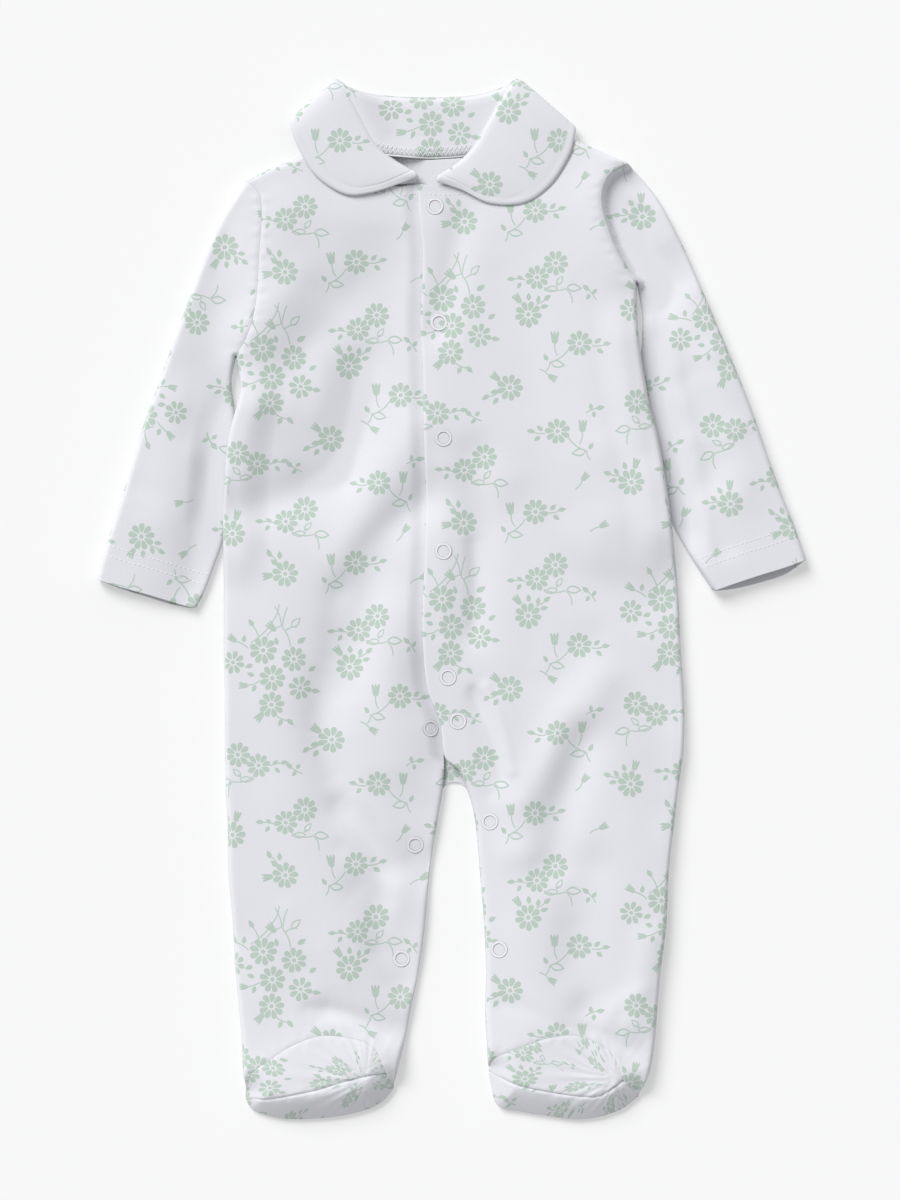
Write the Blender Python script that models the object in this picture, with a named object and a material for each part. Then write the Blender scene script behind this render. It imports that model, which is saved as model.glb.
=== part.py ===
"""Footed baby sleepsuit with a rounded collar, laid on its back with its fronts up.

Every piece of cloth is its own closed wall. The upper pieces (fronts, sleeves, insteps, soles)
share one height field over the garment's plan: a flat loft, the folds, the puffed feet, and an
edge that rolls down to the seams. The back lies under them. The collar is a folded strip that is
swept round the neck. Lengths in the tables are millimetres; X runs to the wearer's left, Y to the
head and Z up from the surface that the garment lies on.
"""
import math

import bmesh
import bpy
import numpy as np
from mathutils import Vector
from mathutils.bvhtree import BVHTree

MM = 0.001

# ---- driving sizes, in millimetres
CLOTH = 1.3             # one layer of cotton interlock
COLLAR_CLOTH = 1.8      # two layers turned out and pressed
SEAM_GAP = 0.3          # between two pieces that are sewn together
SEAM_RISE = 3.0         # height of the side, shoulder and leg seams
LOFT = 8.0              # height of the upper layer where it lies plain
LEAST_GAP = 0.35        # between layers that lie on each other
SOFT_FLOOR = 0.3        # how softly a deep fold comes to rest on the layer below
EDGE_ROLL = 7.0         # width over which the upper layer comes down to a seam
ROLL_FULLNESS = 1.45    # a roll is at most this many times as wide as it is high,
ROLL_SPARE = 0.2        # and a share of its full width more
BACK_ROLL = 2.85        # the same for the back, which curls up to the seam
OVERLAP_STEP = 1.9      # how far the right front sinks to pass under the left front
OVERLAP_RAMP = 9.0      # width of that step
OVERLAP_EARLY = 0.8     # the step ends this far outside the left front's edge
SLEEVE_LIFT = 4.1       # how much higher the body's edge lies where it rests on a sleeve
SLEEVE_TUCK = 3.7       # height of the sleeve where the body lies on it
TUCK_END = 15.0         # the sleeve is back at its own height this far outside the body
TUCK_FADE = 13.5        # and rises to it over this width
LIFT_FULL = 8.0         # width of the lifted edge
LIFT_FADE = 18.0        # width over which the lift fades to nothing
LIFT_SPANS = {"right": (2.0, 32.0, 104.0, 133.0),      # heights between which the edge is
              "left": (10.0, 40.0, 140.0, 173.0)}      # lifted: none, full, full, none
NECK_LIFT = 2.2         # the collar's back leaf lies under the neck
NECK_PRESS = 3.5        # the fronts lie flatter under the collar
NECK_MIDDLE = (-10.0, 266.0)
NECK_REACH = (80.0, 40.0)                    # half the width and the height of that place,
NECK_NEAR = 1.62                             # times this to its outer end
NECK_FADE = 0.55
FOOT_HEIGHT = 15.0      # top of the puffed foot, along the seam of instep and sole
FOOT_REACH = 27.0       # how far the puff of the foot reaches up the leg
FOOT_ROLL = 15.0        # width of the rounded edge at the foot
FOOT_END = 13.0         # the puff stops this short of the ends of the toe seam
FOOT_ROLL_TOP = -232.0  # the edge's roll widens toward the foot from here,
FOOT_ROLL_FADE = 40.0   # over this length
STUD_OUTER = 4.75       # radius of a press stud's ring
STUD_INNER = 3.0
STUD_MIDDLE = 3.9
STUD_HIGH = 1.0
STUD_SIDES = 16

# ---- sections across the body and the legs, from the feet up.
# None: the armhole has taken over from the side.
BODY_COLUMNS = ("y", "right_side", "right_edge", "left_edge", "left_side")
BODY_SECTIONS = (
    ("foot corner", -272.0, -113.0, -32.0, 24.0, 102.5),
    ("heel", -267.0, -113.0, -32.0, 22.5, 105.5),
    ("instep", -259.0, -114.5, -29.6, 20.5, 109.0),
    ("ankle", -245.0, -115.0, -26.2, 19.5, 111.5),
    ("above the ankle", -226.0, -116.5, -22.5, 18.5, 113.0),
    ("lower stud", -204.0, -118.5, -18.0, 19.0, 115.0),
    ("calf", -179.0, -120.0, -14.5, 18.0, 118.0),
    ("knee", -149.0, -122.5, -12.0, 15.5, 119.5),
    ("upper stud", -121.5, -123.0, -7.5, 13.0, 122.5),
    ("thigh", -105.0, -124.0, -4.8, 8.8, 124.5),
    ("crotch", -94.0, -124.0, -4.0, 3.8, 126.0),
    ("crotch corner", -91.0, -124.1, -4.0, 1.4, 126.4),
    ("end of the strip", -88.0, -124.2, -4.0, -2.6, 126.9),
    ("seat", -83.0, -124.5, -3.8, -4.4, 127.5),
    ("crotch studs", -66.5, -124.5, 0.5, -6.5, 128.0),
    ("hip", -50.0, -124.5, 2.5, -13.0, 127.5),
    ("high hip", -28.0, -125.0, 3.5, -15.5, 126.0),
    ("belly", -6.0, -125.0, 3.5, -16.0, 125.0),
    ("waist", 16.0, -125.0, 3.5, -15.0, 123.5),
    ("above the waist", 54.5, -125.0, 3.5, -14.0, 119.0),
    ("ribs", 87.5, -122.5, 3.5, -15.0, 113.5),
    ("low chest", 107.0, -117.5, 3.5, -15.5, 108.5),
    ("chest", 118.0, -116.0, 3.5, -15.5, 106.5),
    ("right underarm", 133.0, -118.5, 3.5, -16.0, 104.0),
    ("high chest", 153.5, None, 3.5, -17.0, 102.0),
    ("left underarm", 173.0, None, 3.5, -16.0, 102.0),
    ("yoke", 192.0, None, 3.5, -16.0, None),
    ("collar bone", 211.5, None, 3.5, -18.0, None),
    ("neck", 227.5, None, 3.5, -18.5, None),
)

# ---- the armholes, from the underarm to the tip of the shoulder
ARMHOLE_COLUMNS = ("right_x", "right_y", "left_x", "left_y")
ARMHOLE_SECTIONS = (
    ("underarm", -118.5, 133.0, 102.0, 173.0),
    ("underarm curve", -113.0, 142.0, 95.0, 180.0),
    ("low", -109.0, 152.5, 88.5, 192.0),
    ("middle", -106.5, 167.5, 84.0, 204.5),
    ("upper", -105.5, 186.5, 81.5, 214.0),
    ("high", -104.0, 207.5, 81.5, 223.5),
    ("under the tip", -104.5, 219.5, 84.5, 231.5),
    ("near the tip", -107.7, 225.6, 90.5, 237.0),
    ("tip", -113.3, 229.4, 97.0, 239.5),
)

# ---- sections across the sleeves, from the armhole to the cuff
SLEEVE_COLUMNS = ("right_outer_x", "right_outer_y", "right_inner_x", "right_inner_y",
                  "left_outer_x", "left_outer_y", "left_inner_x", "left_inner_y")
SLEEVE_SECTIONS = (
    ("armhole", -113.3, 229.4, -118.5, 133.0, 97.0, 239.5, 102.0, 173.0),
    ("cap", -126.4, 208.0, -120.8, 118.5, 112.5, 221.0, 104.8, 155.0),
    ("upper arm", -135.5, 187.5, -119.2, 104.5, 125.5, 197.5, 104.2, 137.0),
    ("biceps", -144.0, 165.5, -118.5, 87.5, 134.0, 178.5, 101.5, 118.0),
    ("above the elbow", -152.0, 143.5, -120.0, 70.0, 143.5, 156.5, 103.0, 98.5),
    ("elbow", -161.0, 118.0, -121.5, 52.0, 153.0, 134.0, 107.0, 81.0),
    ("below the elbow", -170.0, 93.0, -124.5, 35.0, 164.5, 105.5, 112.0, 60.0),
    ("forearm", -179.0, 62.5, -130.5, 17.5, 177.0, 69.5, 120.5, 42.5),
    ("wrist", -188.8, 32.0, -135.0, 5.5, 188.8, 39.0, 131.5, 23.0),
    ("cuff", -194.8, 11.0, -140.0, -4.4, 194.8, 21.8, 143.3, 4.8),
)

# ---- the hem of each cuff: how far its upper layer bows past the straight line between its
# folds, and how much farther the under layer shows
CUFF_COLUMNS = ("share", "right_bow", "left_bow", "right_drop", "left_drop")
CUFF_SECTIONS = (
    ("outer fold", 0.0, 0.0, 0.0, 0.0, 0.0),
    ("outer quarter", 0.25, 0.5, 0.4, 0.9, 3.6),
    ("middle", 0.5, 0.4, 0.1, 1.4, 4.0),
    ("inner quarter", 0.75, 0.7, 0.1, 1.4, 3.0),
    ("near the inner fold", 0.93, 0.8, 0.3, 0.5, 0.9),
    ("inner fold", 1.0, 0.0, 0.0, 0.0, 0.0),
)

# ---- sections across each foot: the seam of leg and instep, the seam of instep and sole,
# and the end of the foot. The last two rows are where the leg meets the sole itself.
FOOT_COLUMNS = ("x", "arc_y", "toe_seam_y", "end_y")
RIGHT_FOOT_SECTIONS = (
    ("outer corner", -113.0, -270.5, -273.0, -274.0),
    ("outer side", -109.5, -259.5, -273.3, -280.0),
    ("outer quarter", -101.0, -253.0, -273.5, -283.3),
    ("outer ball", -89.0, -245.0, -271.3, -285.3),
    ("middle", -73.5, -239.0, -268.0, -285.0),
    ("inner ball", -58.5, -239.5, -263.5, -283.2),
    ("inner quarter", -46.0, -243.0, -260.5, -280.0),
    ("inner side", -40.0, -249.0, -259.7, -277.0),
    ("instep end", -36.0, -259.5, -259.5, -273.8),
    ("inner corner", -31.6, -266.5, -266.5, -268.2),
)
LEFT_FOOT_SECTIONS = (
    ("inner corner", 20.5, -256.5, -259.0, -260.5),
    ("inner side", 25.0, -250.5, -261.0, -277.5),
    ("inner quarter", 37.5, -245.0, -266.0, -281.0),
    ("inner ball", 53.0, -239.8, -269.3, -283.5),
    ("middle", 68.0, -238.5, -271.5, -285.5),
    ("outer ball", 80.0, -243.0, -271.8, -284.3),
    ("outer quarter", 88.0, -249.0, -267.5, -282.0),
    ("instep end", 94.0, -263.2, -263.2, -279.5),
    ("outer corner", 102.5, -272.0, -272.0, -273.0),
)

# ---- sections of the collar round the neck, from the wearer's right front to the left front.
# turn: 90 where its outer face looks up at the front, 0 at the side, -90 under the back.
COLLAR_COLUMNS = ("turn", "seam_x", "seam_y", "roll_x", "roll_y", "edge_x", "edge_y")
COLLAR_SECTIONS = (
    ("right front end", 90, -19.0, 227.6, -19.3, 234.2, -18.0, 231.2),
    ("right front", 90, -28.5, 226.3, -26.0, 237.8, -29.0, 227.3),
    ("right breast", 90, -39.5, 228.3, -32.7, 242.3, -44.3, 222.5),
    ("right leaf low", 90, -49.8, 232.0, -39.9, 248.9, -58.5, 221.9),
    ("right leaf", 90, -58.0, 239.0, -46.0, 259.3, -74.0, 231.8),
    ("right leaf high", 85, -62.4, 247.0, -52.0, 270.9, -83.9, 247.2),
    ("right shoulder front", 60, -64.5, 253.8, -57.8, 281.3, -87.5, 256.5),
    ("right peak", 0, -65.5, 259.3, -63.0, 285.6, -88.3, 262.6),
    ("right shoulder back", -75, -61.3, 255.5, -56.5, 281.8, -84.0, 256.0),
    ("right nape", -90, -52.5, 247.4, -45.9, 278.3, -66.8, 244.5),
    ("right of centre", -90, -36.6, 242.4, -31.1, 276.5, -42.1, 242.0),
    ("centre back", -90, -11.3, 241.2, -11.3, 275.9, -11.3, 241.2),
    ("left of centre", -90, 14.6, 243.4, 10.2, 276.9, 20.1, 242.0),
    ("left nape", -90, 31.1, 249.2, 24.5, 280.3, 44.8, 245.5),
    ("left shoulder back", -75, 39.9, 257.3, 31.8, 283.4, 62.5, 253.0),
    ("left peak", 0, 43.9, 263.2, 36.0, 285.6, 67.9, 258.5),
    ("left shoulder front", 60, 42.6, 256.0, 32.3, 283.2, 67.2, 252.5),
    ("left leaf high", 85, 39.3, 246.1, 25.6, 272.8, 64.5, 242.8),
    ("left leaf", 90, 33.3, 237.3, 18.4, 260.4, 54.4, 226.9),
    ("left leaf low", 90, 23.9, 231.3, 12.9, 250.0, 39.9, 217.0),
    ("left breast", 90, 13.5, 228.0, 6.3, 241.9, 21.2, 216.8),
    ("left front", 90, 2.0, 226.9, -0.8, 236.4, 5.2, 224.3),
    ("left front end", 90, -7.6, 226.9, -7.7, 232.2, -8.6, 228.9),
)

# ---- the collar's own profile: where a point lies between the neck seam and the roll, or
# between the roll and the outer edge, its height at the back and at the front, and how far
# it stands to the side where the collar turns over the shoulder: share, back z, front z, aside.
STAND_PROFILE = (
    ("neck seam", 0.0, 3.1, 6.5, -0.3),
    ("stand", 0.5, 3.1, 6.5, -0.7),
    ("under the roll", 0.93, 3.1, 6.6, -1.1),
)
LEAF_PROFILE = (
    ("roll", 0.0, 2.0, 7.75, 0.0),
    ("over the roll", 0.05, 0.9, 8.9, 1.1),
    ("inner leaf", 0.3, 0.9, 9.5, 0.8),
    ("leaf", 0.6, 0.9, 9.4, 0.5),
    ("inside the edge seam", 0.88, 0.9, 8.7, 0.2),
    ("edge", 1.0, 0.9, 8.5, 0.0),
)
NECK_INSET = 1.4        # between the neck seam and the collar
SHOULDER_INSET = 1.6    # more of the same where the collar turns over the shoulder
ROLL_INSET = 0.9        # the roll's outside is where the collar's outline is

# ---- the shoulder seams between the tip and the neck
SHOULDER_COLUMNS = ("right_x", "right_y", "left_x", "left_y")
SHOULDER_SECTIONS = (
    ("tip", -113.3, 229.4, 97.0, 239.5),
    ("outer", -99.8, 236.2, 80.5, 246.5),
    ("inner", -84.4, 241.9, 63.5, 254.0),
    ("neck", -66.3, 252.6, 46.5, 261.9),
)

# ---- folds of the upper layer: a ridge or a hollow along a bowed line
FOLD_COLUMNS = ("start_x", "start_y", "middle_x", "middle_y", "end_x", "end_y",
                "half_width", "height")
FOLDS = (
    ("right chest hollow", -36.0, 184.0, -45.0, 120.0, -68.0, 63.0, 21.0, -4.0),
    ("right chest ridge", -94.0, 206.0, -98.0, 168.0, -105.0, 108.0, 20.0, 2.6),
    ("right waist hollow", -83.0, 59.0, -100.0, 55.0, -116.0, 52.0, 12.0, -2.4),
    ("right rib ridge", -20.0, 93.0, -40.0, 55.0, -59.0, 22.0, 14.0, 1.8),
    ("right belly hollow", -13.0, 57.0, -37.0, 33.0, -55.0, -20.0, 14.0, -3.2),
    ("right hip hollow", -59.0, -39.0, -71.0, -72.0, -61.0, -105.0, 14.0, -3.0),
    ("right hip ridge", -83.0, 22.0, -92.0, -28.0, -89.0, -77.0, 20.0, 1.6),
    ("right groin ridge", -28.0, -11.0, -37.0, -55.0, -34.0, -88.0, 15.0, 1.8),
    ("right thigh hollow", -56.0, -117.0, -39.0, -138.0, -16.0, -148.0, 12.0, -2.8),
    ("right thigh ridge", -89.0, -110.0, -78.0, -149.0, -59.0, -179.0, 18.0, 1.8),
    ("right shin hollow", -49.0, -160.0, -34.0, -179.0, -28.0, -207.0, 11.0, -2.6),
    ("right ankle hollow", -67.0, -226.0, -48.0, -232.0, -28.0, -236.0, 9.0, -2.4),
    ("right ankle ridge", -105.0, -193.0, -100.0, -220.0, -83.0, -242.0, 14.0, 1.2),
    ("placket hollow", 10.0, 198.0, 2.0, 176.0, -8.0, 145.0, 10.0, -2.4),
    ("left chest ridge", 66.0, 176.0, 76.0, 148.0, 82.0, 93.0, 20.0, 1.4),
    ("left armpit hollow", 98.0, 165.0, 106.0, 121.0, 109.0, 82.0, 10.0, -1.2),
    ("left waist hollow", 13.0, 79.0, 15.0, 33.0, 10.0, -17.0, 11.0, -2.4),
    ("placket ridge", -6.0, 71.0, -4.0, 27.0, -3.0, -22.0, 10.0, 1.0),
    ("left belly ridge", 87.0, 77.0, 93.0, 52.0, 82.0, 30.0, 16.0, 1.6),
    ("left flank hollow", 38.0, 46.0, 65.0, 16.0, 104.0, 0.0, 18.0, -2.8),
    ("left hip hollow", 82.0, -22.0, 109.0, -55.0, 120.0, -110.0, 16.0, -1.6),
    ("left groin ridge", 82.0, -44.0, 55.0, -91.0, 40.0, -138.0, 13.0, 2.6),
    ("left thigh hollow", 71.0, -80.0, 61.0, -113.0, 54.0, -143.0, 12.0, -2.8),
    ("left seat ridge", 25.0, -55.0, 27.0, -80.0, 28.0, -108.0, 5.0, 1.4),
    ("left seat hollow", 18.0, -55.0, 20.0, -80.0, 21.0, -105.0, 5.0, -1.2),
    ("left knee hollow", 76.0, -149.0, 71.0, -182.0, 76.0, -215.0, 14.0, -2.0),
    ("left calf ridge", 49.0, -165.0, 43.0, -198.0, 49.0, -231.0, 18.0, 1.6),
    ("left shin ridge", 108.0, -187.0, 104.0, -212.0, 99.0, -231.0, 8.0, 1.4),
    ("left ankle hollow", 73.0, -226.0, 87.0, -240.0, 98.0, -248.0, 9.0, -2.0),
    ("right sleeve hollow", -122.0, 206.0, -127.0, 153.0, -131.0, 99.0, 13.0, -2.4),
    ("right elbow ridge", -150.0, 110.0, -149.0, 82.0, -148.0, 52.0, 13.0, 1.6),
    ("right wrist hollow", -138.0, 41.0, -141.0, 22.0, -142.0, 8.0, 9.0, -1.3),
    ("left sleeve hollow", 104.0, 210.0, 124.0, 140.0, 142.0, 74.0, 14.0, -3.4),
    ("left elbow ridge", 142.0, 128.0, 152.0, 96.0, 160.0, 63.0, 12.0, 1.6),
    ("left forearm hollow", 136.0, 60.0, 142.0, 45.0, 148.0, 30.0, 9.0, -1.4),
)

# ---- press studs: the front that each is set in, and the x and y of its place
STUDS = (
    ("stud_neck", "left", -9.1, 215.6),
    ("stud_chest", "left", -7.0, 152.0),
    ("stud_ribs", "left", -4.5, 88.5),
    ("stud_waist", "left", -4.5, 26.5),
    ("stud_hip", "left", -2.0, -42.5),
    ("stud_crotch_left", "left", 3.5, -66.5),
    ("stud_crotch_right", "right", -11.6, -70.6),
    ("stud_right_knee", "right", -20.0, -134.5),
    ("stud_right_ankle", "right", -27.5, -197.0),
    ("stud_left_knee", "left", 21.0, -121.6),
    ("stud_left_ankle", "left", 26.0, -191.5),
)

# ---- how finely the pieces are divided
EDGE_STEPS = (0.0, 0.6, 1.8, 4.2)                          # from a rolled edge, mm
CROTCH_STEPS = (0.0, 0.6, 1.8, 4.2)                        # above the back's crotch, mm
OPEN_EDGE = 3.0         # beside an edge that doesn't roll, the steps are this much wider
LEAST_LAP = 3.0         # the overlap's own columns are at least this far apart in all
LEG_TO_BODY = 16.0      # above the crotch, the leg's columns change to the body's over this height
ARMHOLE_STEPS = (0.0, 0.005, 0.018, 0.045, 0.13, 0.25, 0.37, 0.5, 0.62, 0.74, 0.86,
                 0.955, 0.982, 0.995, 1.0)                 # from the underarm to the tip
FRONT_ROWS = {"leg": 12, "body": 13, "middle": 8}
BACK_ROWS = {"leg": 12, "body": 13, "middle": 3}
SLEEVE_ROWS = 13
UNDERARM_FAN = 1.7      # the rows of a sleeve fan out from the underarm
UNDERARM_REACH = 14.0   # within this distance of the underarm a sleeve keeps clear of the body
UNDERARM_CLEAR = {"right": 0.5, "left": 1.0}
INSTEP_ROWS = 5
SOLE_STEPS = (0.0, 0.05, 0.16, 0.36, 0.66, 1.0)            # from the end of the foot
COLLAR_SPANS = 2
CURVE_STEPS = 6
FOOT_CORNER = -5        # the column where the instep ends at the front's lower edge
NECK_COLUMN = {("front", "right"): 6, ("front", "left"): 8,
               ("back", "right"): 5, ("back", "left"): 6}  # where the shoulder meets the neck
FRONT_LEVEL = 150.0     # the height on the front edge that is level with the underarms
CROTCH_Y = -100.5
CROTCH_DROP = 3.2       # the crotch is blunt: the leg edges leave it this much lower
FRONT_SPLIT_Y = -94.0   # below it each front closes round its own leg
BACK_CROTCH = (1.4, -100.5)
INSTEP_POINT = 0.8      # the instep's thin end is cut short by the rest of its last step
SOLE_POINT = 0.5        # and so are both ends of the sole
MOST_INSET = 0.3        # a seam's gap takes at most this share of the cells beside it
ROLLED = 0.6            # an inward direction with less fall than this is on a rolled edge
WELD = 0.0005           # points closer than this are one point, mm
SLOPE_STEP = 0.25       # a slope is taken over this distance to each side
ON_EDGE = 0.05          # a point this close to a rolled edge lies on it,
NUDGE = 0.4             # and its inward direction is read this far inside

CLOTH_COLOUR = (0.84, 0.84, 0.87)
STUD_COLOUR = (0.88, 0.88, 0.89)


# ---- tables and lines

def paired(columns, rows, across, up):
    """Points (across, up) from two columns, without the rows where across is None."""
    i = columns.index(across) + 1
    j = columns.index(up) + 1
    return np.array([(row[i], row[j]) for row in rows if row[i] is not None], dtype=float)


def smooth_line(points, steps=CURVE_STEPS):
    """A smooth line through points, with a few straight steps in each span."""
    points = np.asarray(points, dtype=float)
    before = np.vstack([2 * points[0] - points[1], points])
    padded = np.vstack([before, 2 * points[-1] - points[-2]])
    spans = []
    for i in range(len(points) - 1):
        p0, p1, p2, p3 = padded[i:i + 4]
        t = np.linspace(0.0, 1.0, steps, endpoint=False)[:, None]
        spans.append(0.5 * (2 * p1 + (p2 - p0) * t + (2 * p0 - 5 * p1 + 4 * p2 - p3) * t ** 2
                            + (3 * p1 - p0 - 3 * p2 + p3) * t ** 3))
    return np.vstack(spans + [points[-1:]])


def at_heights(line, y):
    """Points of a line that only rises, at the heights y."""
    return np.column_stack([np.interp(y, line[:, 1], line[:, 0]), y])


def shares_of(line):
    """The share of its length at which each point of a line lies."""
    steps = np.hypot(*np.diff(line, axis=0).T)
    run = np.concatenate([[0.0], np.cumsum(steps)])
    return run / run[-1]


def along(line, share):
    """Points of a line at shares of its length."""
    run = shares_of(line)
    return np.stack([np.interp(share, run, line[:, k]) for k in range(line.shape[1])], axis=-1)


def smoothstep(t):
    t = np.clip(t, 0.0, 1.0)
    return t * t * (3 - 2 * t)


def distance(points, lines):
    """Distance from each point to the nearest of some lines, and the way from the line."""
    starts = np.vstack([line[:-1] for line in lines])
    runs = np.vstack([np.diff(line, axis=0) for line in lines])
    flat = points.reshape(-1, 2)
    to_start = flat[:, None, :] - starts[None, :, :]
    share = np.clip((to_start * runs).sum(-1) / (runs ** 2).sum(-1), 0.0, 1.0)
    away = to_start - share[..., None] * runs
    gaps = np.hypot(away[..., 0], away[..., 1])
    nearest = gaps.argmin(axis=1)
    rows = np.arange(len(flat))
    return gaps[rows, nearest].reshape(points.shape[:-1]), away[rows, nearest].reshape(points.shape)


# ---- the lines that the pieces are cut along

SIDES = ("right", "left")
BODY = {name: smooth_line(paired(BODY_COLUMNS, BODY_SECTIONS, name, "y"))
        for name in BODY_COLUMNS[1:]}
FEET = {"right": RIGHT_FOOT_SECTIONS, "left": LEFT_FOOT_SECTIONS}
INSTEP_END = {side: [row[0] for row in FEET[side]].index("instep end") for side in SIDES}
ARMHOLES = {side: smooth_line(paired(ARMHOLE_COLUMNS, ARMHOLE_SECTIONS, side + "_x", side + "_y"))
            for side in SIDES}
SLEEVES = {name: smooth_line(paired(SLEEVE_COLUMNS, SLEEVE_SECTIONS, name + "_x", name + "_y"))
           for name in ("right_outer", "right_inner", "left_outer", "left_inner")}
COLLAR_SEAM = paired(COLLAR_COLUMNS, COLLAR_SECTIONS, "seam_x", "seam_y")
COLLAR_NAMES = [row[0] for row in COLLAR_SECTIONS]


def foot_line(side, column, first=0, last=None):
    points = paired(FOOT_COLUMNS, FEET[side], "x", column)
    return smooth_line(points[first:last])


def neckline(side):
    """The neck seam of one front, from the shoulder to the front edge."""
    if side == "right":
        points = COLLAR_SEAM[:COLLAR_NAMES.index("right leaf high") + 1][::-1]
        rest = [(-6.0, 226.2), (3.5, 227.5)]
    else:
        points = COLLAR_SEAM[COLLAR_NAMES.index("left leaf high"):]
        rest = [(-18.5, 227.5)]
    return smooth_line(np.vstack([shoulder(side)[-1:], points, rest]))


def nape(side):
    """The neck seam of one half of the back, from the shoulder to the centre."""
    centre = COLLAR_NAMES.index("centre back")
    if side == "right":
        points = COLLAR_SEAM[COLLAR_NAMES.index("right nape"):centre + 1]
    else:
        points = COLLAR_SEAM[centre:COLLAR_NAMES.index("left nape") + 1][::-1]
    return smooth_line(np.vstack([shoulder(side)[-1:], points]))


def shoulder(side):
    return smooth_line(paired(SHOULDER_COLUMNS, SHOULDER_SECTIONS, side + "_x", side + "_y"))


def below(line, y):
    """The stretch of a rising line that lies below a height."""
    return np.vstack([line[line[:, 1] < y], at_heights(line, np.array([y]))])


def back_leg_edge(side):
    """The inner edge of one leg of the back, up to the crotch."""
    leg = above(below(BODY[side + "_edge"], CROTCH_Y - CROTCH_DROP), foot_corner(side, "edge")[1])
    blunt = leg[-1] + (BACK_CROTCH - leg[-1]) * (0.5, 0.85)
    return np.vstack([leg, smooth_line([leg[-1], blunt, BACK_CROTCH])[1:]])


def above(line, y):
    """The stretch of a rising line that lies above a height."""
    return np.vstack([at_heights(line, np.array([y])), line[line[:, 1] > y]])


def foot_corner(side, of):
    """Where the leg's outer side or its inner edge meets the foot."""
    at_start = (side == "right") == (of == "side")
    return foot_line(side, "arc_y")[0 if at_start else -1]


def foot_outline(side):
    """The end of the foot with its two corners, from the wearer's right to the left."""
    corners = [foot_corner(side, of) for of in (("side", "edge") if side == "right" else ("edge", "side"))]
    return np.vstack([corners[:1], foot_line(side, "end_y"), corners[1:]])


def leg_side(side):
    return above(BODY[side + "_side"], foot_corner(side, "side")[1])


OUTER_ROLLS = ([leg_side(side) for side in SIDES] + [shoulder(side) for side in SIDES]
               + [SLEEVES[side + "_outer"] for side in SIDES]
               + [foot_outline(side) for side in SIDES])
FRONT_ROLLS = OUTER_ROLLS + [above(below(BODY[side + "_edge"], FRONT_SPLIT_Y), foot_corner(side, "edge")[1])
                             for side in SIDES]
BACK_ROLLS = OUTER_ROLLS + [back_leg_edge(side) for side in SIDES]
SLEEVE_ROLLS = {side: [SLEEVES[side + "_outer"], SLEEVES[side + "_inner"], shoulder(side)]
                for side in SIDES}
TOE_SEAMS = {side: foot_line(side, "toe_seam_y", 0, INSTEP_END[side] + 1) for side in SIDES}


# ---- heights

def inside_side(points, side):
    """How far points lie inside the body's side edge, measured level."""
    x = np.interp(points[..., 1], BODY[side + "_side"][:, 1], BODY[side + "_side"][:, 0])
    return points[..., 0] - x if side == "right" else x - points[..., 0]


def beside_sleeve(points, side):
    """1 along the stretch of a side edge that lies on the sleeve, 0 above and below it."""
    low, low_full, high_full, high = LIFT_SPANS[side]
    y = points[..., 1]
    return smoothstep((y - low) / (low_full - low)) * smoothstep((high - y) / (high - high_full))


def near_neck(points):
    """1 round the neck, fading to 0 at the tips of the shoulders."""
    reach = np.linalg.norm((points - NECK_MIDDLE) / NECK_REACH, axis=-1)
    return smoothstep((NECK_NEAR - reach) / NECK_FADE)


def neck_lift(points):
    """The collar's back leaf holds up what lies on it."""
    return NECK_LIFT * near_neck(points)


def body_lift(points):
    """How far the body is held up: by the sleeves at its sides, by the collar at the neck."""
    lift = neck_lift(points)
    for side in SIDES:
        edge = smoothstep((LIFT_FULL + LIFT_FADE - inside_side(points, side)) / LIFT_FADE)
        lift = lift + SLEEVE_LIFT * edge * beside_sleeve(points, side)
    return lift


def folds(points):
    total = np.zeros(points.shape[:-1])
    for _, *row in FOLDS:
        fold = dict(zip(FOLD_COLUMNS, row))
        line = smooth_line(np.reshape(row[:6], (3, 2)))
        gap, _ = distance(points, [line])
        total = total + fold["height"] * np.exp(-(gap / fold["half_width"]) ** 2)
    return total


def foot_puff(points):
    """How much the foot raises the upper layer: most along the seam of instep and sole."""
    total = np.zeros(points.shape[:-1])
    for side in SIDES:
        seam = TOE_SEAMS[side]
        length = np.hypot(*np.diff(seam, axis=0).T).sum()
        end = FOOT_END / length
        middle = along(seam, np.linspace(end, 1.0 - end, 12))
        gap, _ = distance(points, [middle])
        total = total + (FOOT_HEIGHT - LOFT) * np.exp(-(gap / FOOT_REACH) ** 2)
    return total


def roll_width(points):
    """The rounded edge is narrow along the body and wide round the feet."""
    toward_foot = smoothstep((FOOT_ROLL_TOP - points[..., 1]) / FOOT_ROLL_FADE)
    return EDGE_ROLL + (FOOT_ROLL - EDGE_ROLL) * toward_foot


def plain_height(points):
    """The upper layer without its rolled edge and without what holds it up."""
    height = LOFT + folds(points) + foot_puff(points) - NECK_PRESS * near_neck(points)
    least = 2 * CLOTH + LEAST_GAP
    return least + 0.5 * (height - least + np.sqrt((height - least) ** 2 + SOFT_FLOOR))


def under_overlap(points):
    """1 where the right front lies under the left front, 0 beyond the step."""
    edge = np.interp(points[..., 1], BODY["left_edge"][:, 1], BODY["left_edge"][:, 0])
    return smoothstep((points[..., 0] - edge + OVERLAP_RAMP) / (OVERLAP_RAMP - OVERLAP_EARLY))


def tucked(points, side):
    """1 where the sleeve is pressed under the body's edge, fading outwards."""
    outside = -inside_side(points, side)
    return beside_sleeve(points, side) * smoothstep((TUCK_END - outside) / TUCK_FADE)


def slope_of(height, points):
    """The slope of a height field, by small steps to each side."""
    step = SLOPE_STEP
    right = height(points + (step, 0.0)) - height(points - (step, 0.0))
    up = height(points + (0.0, step)) - height(points - (0.0, step))
    return np.stack([right, up], axis=-1) / (2 * step)


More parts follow.
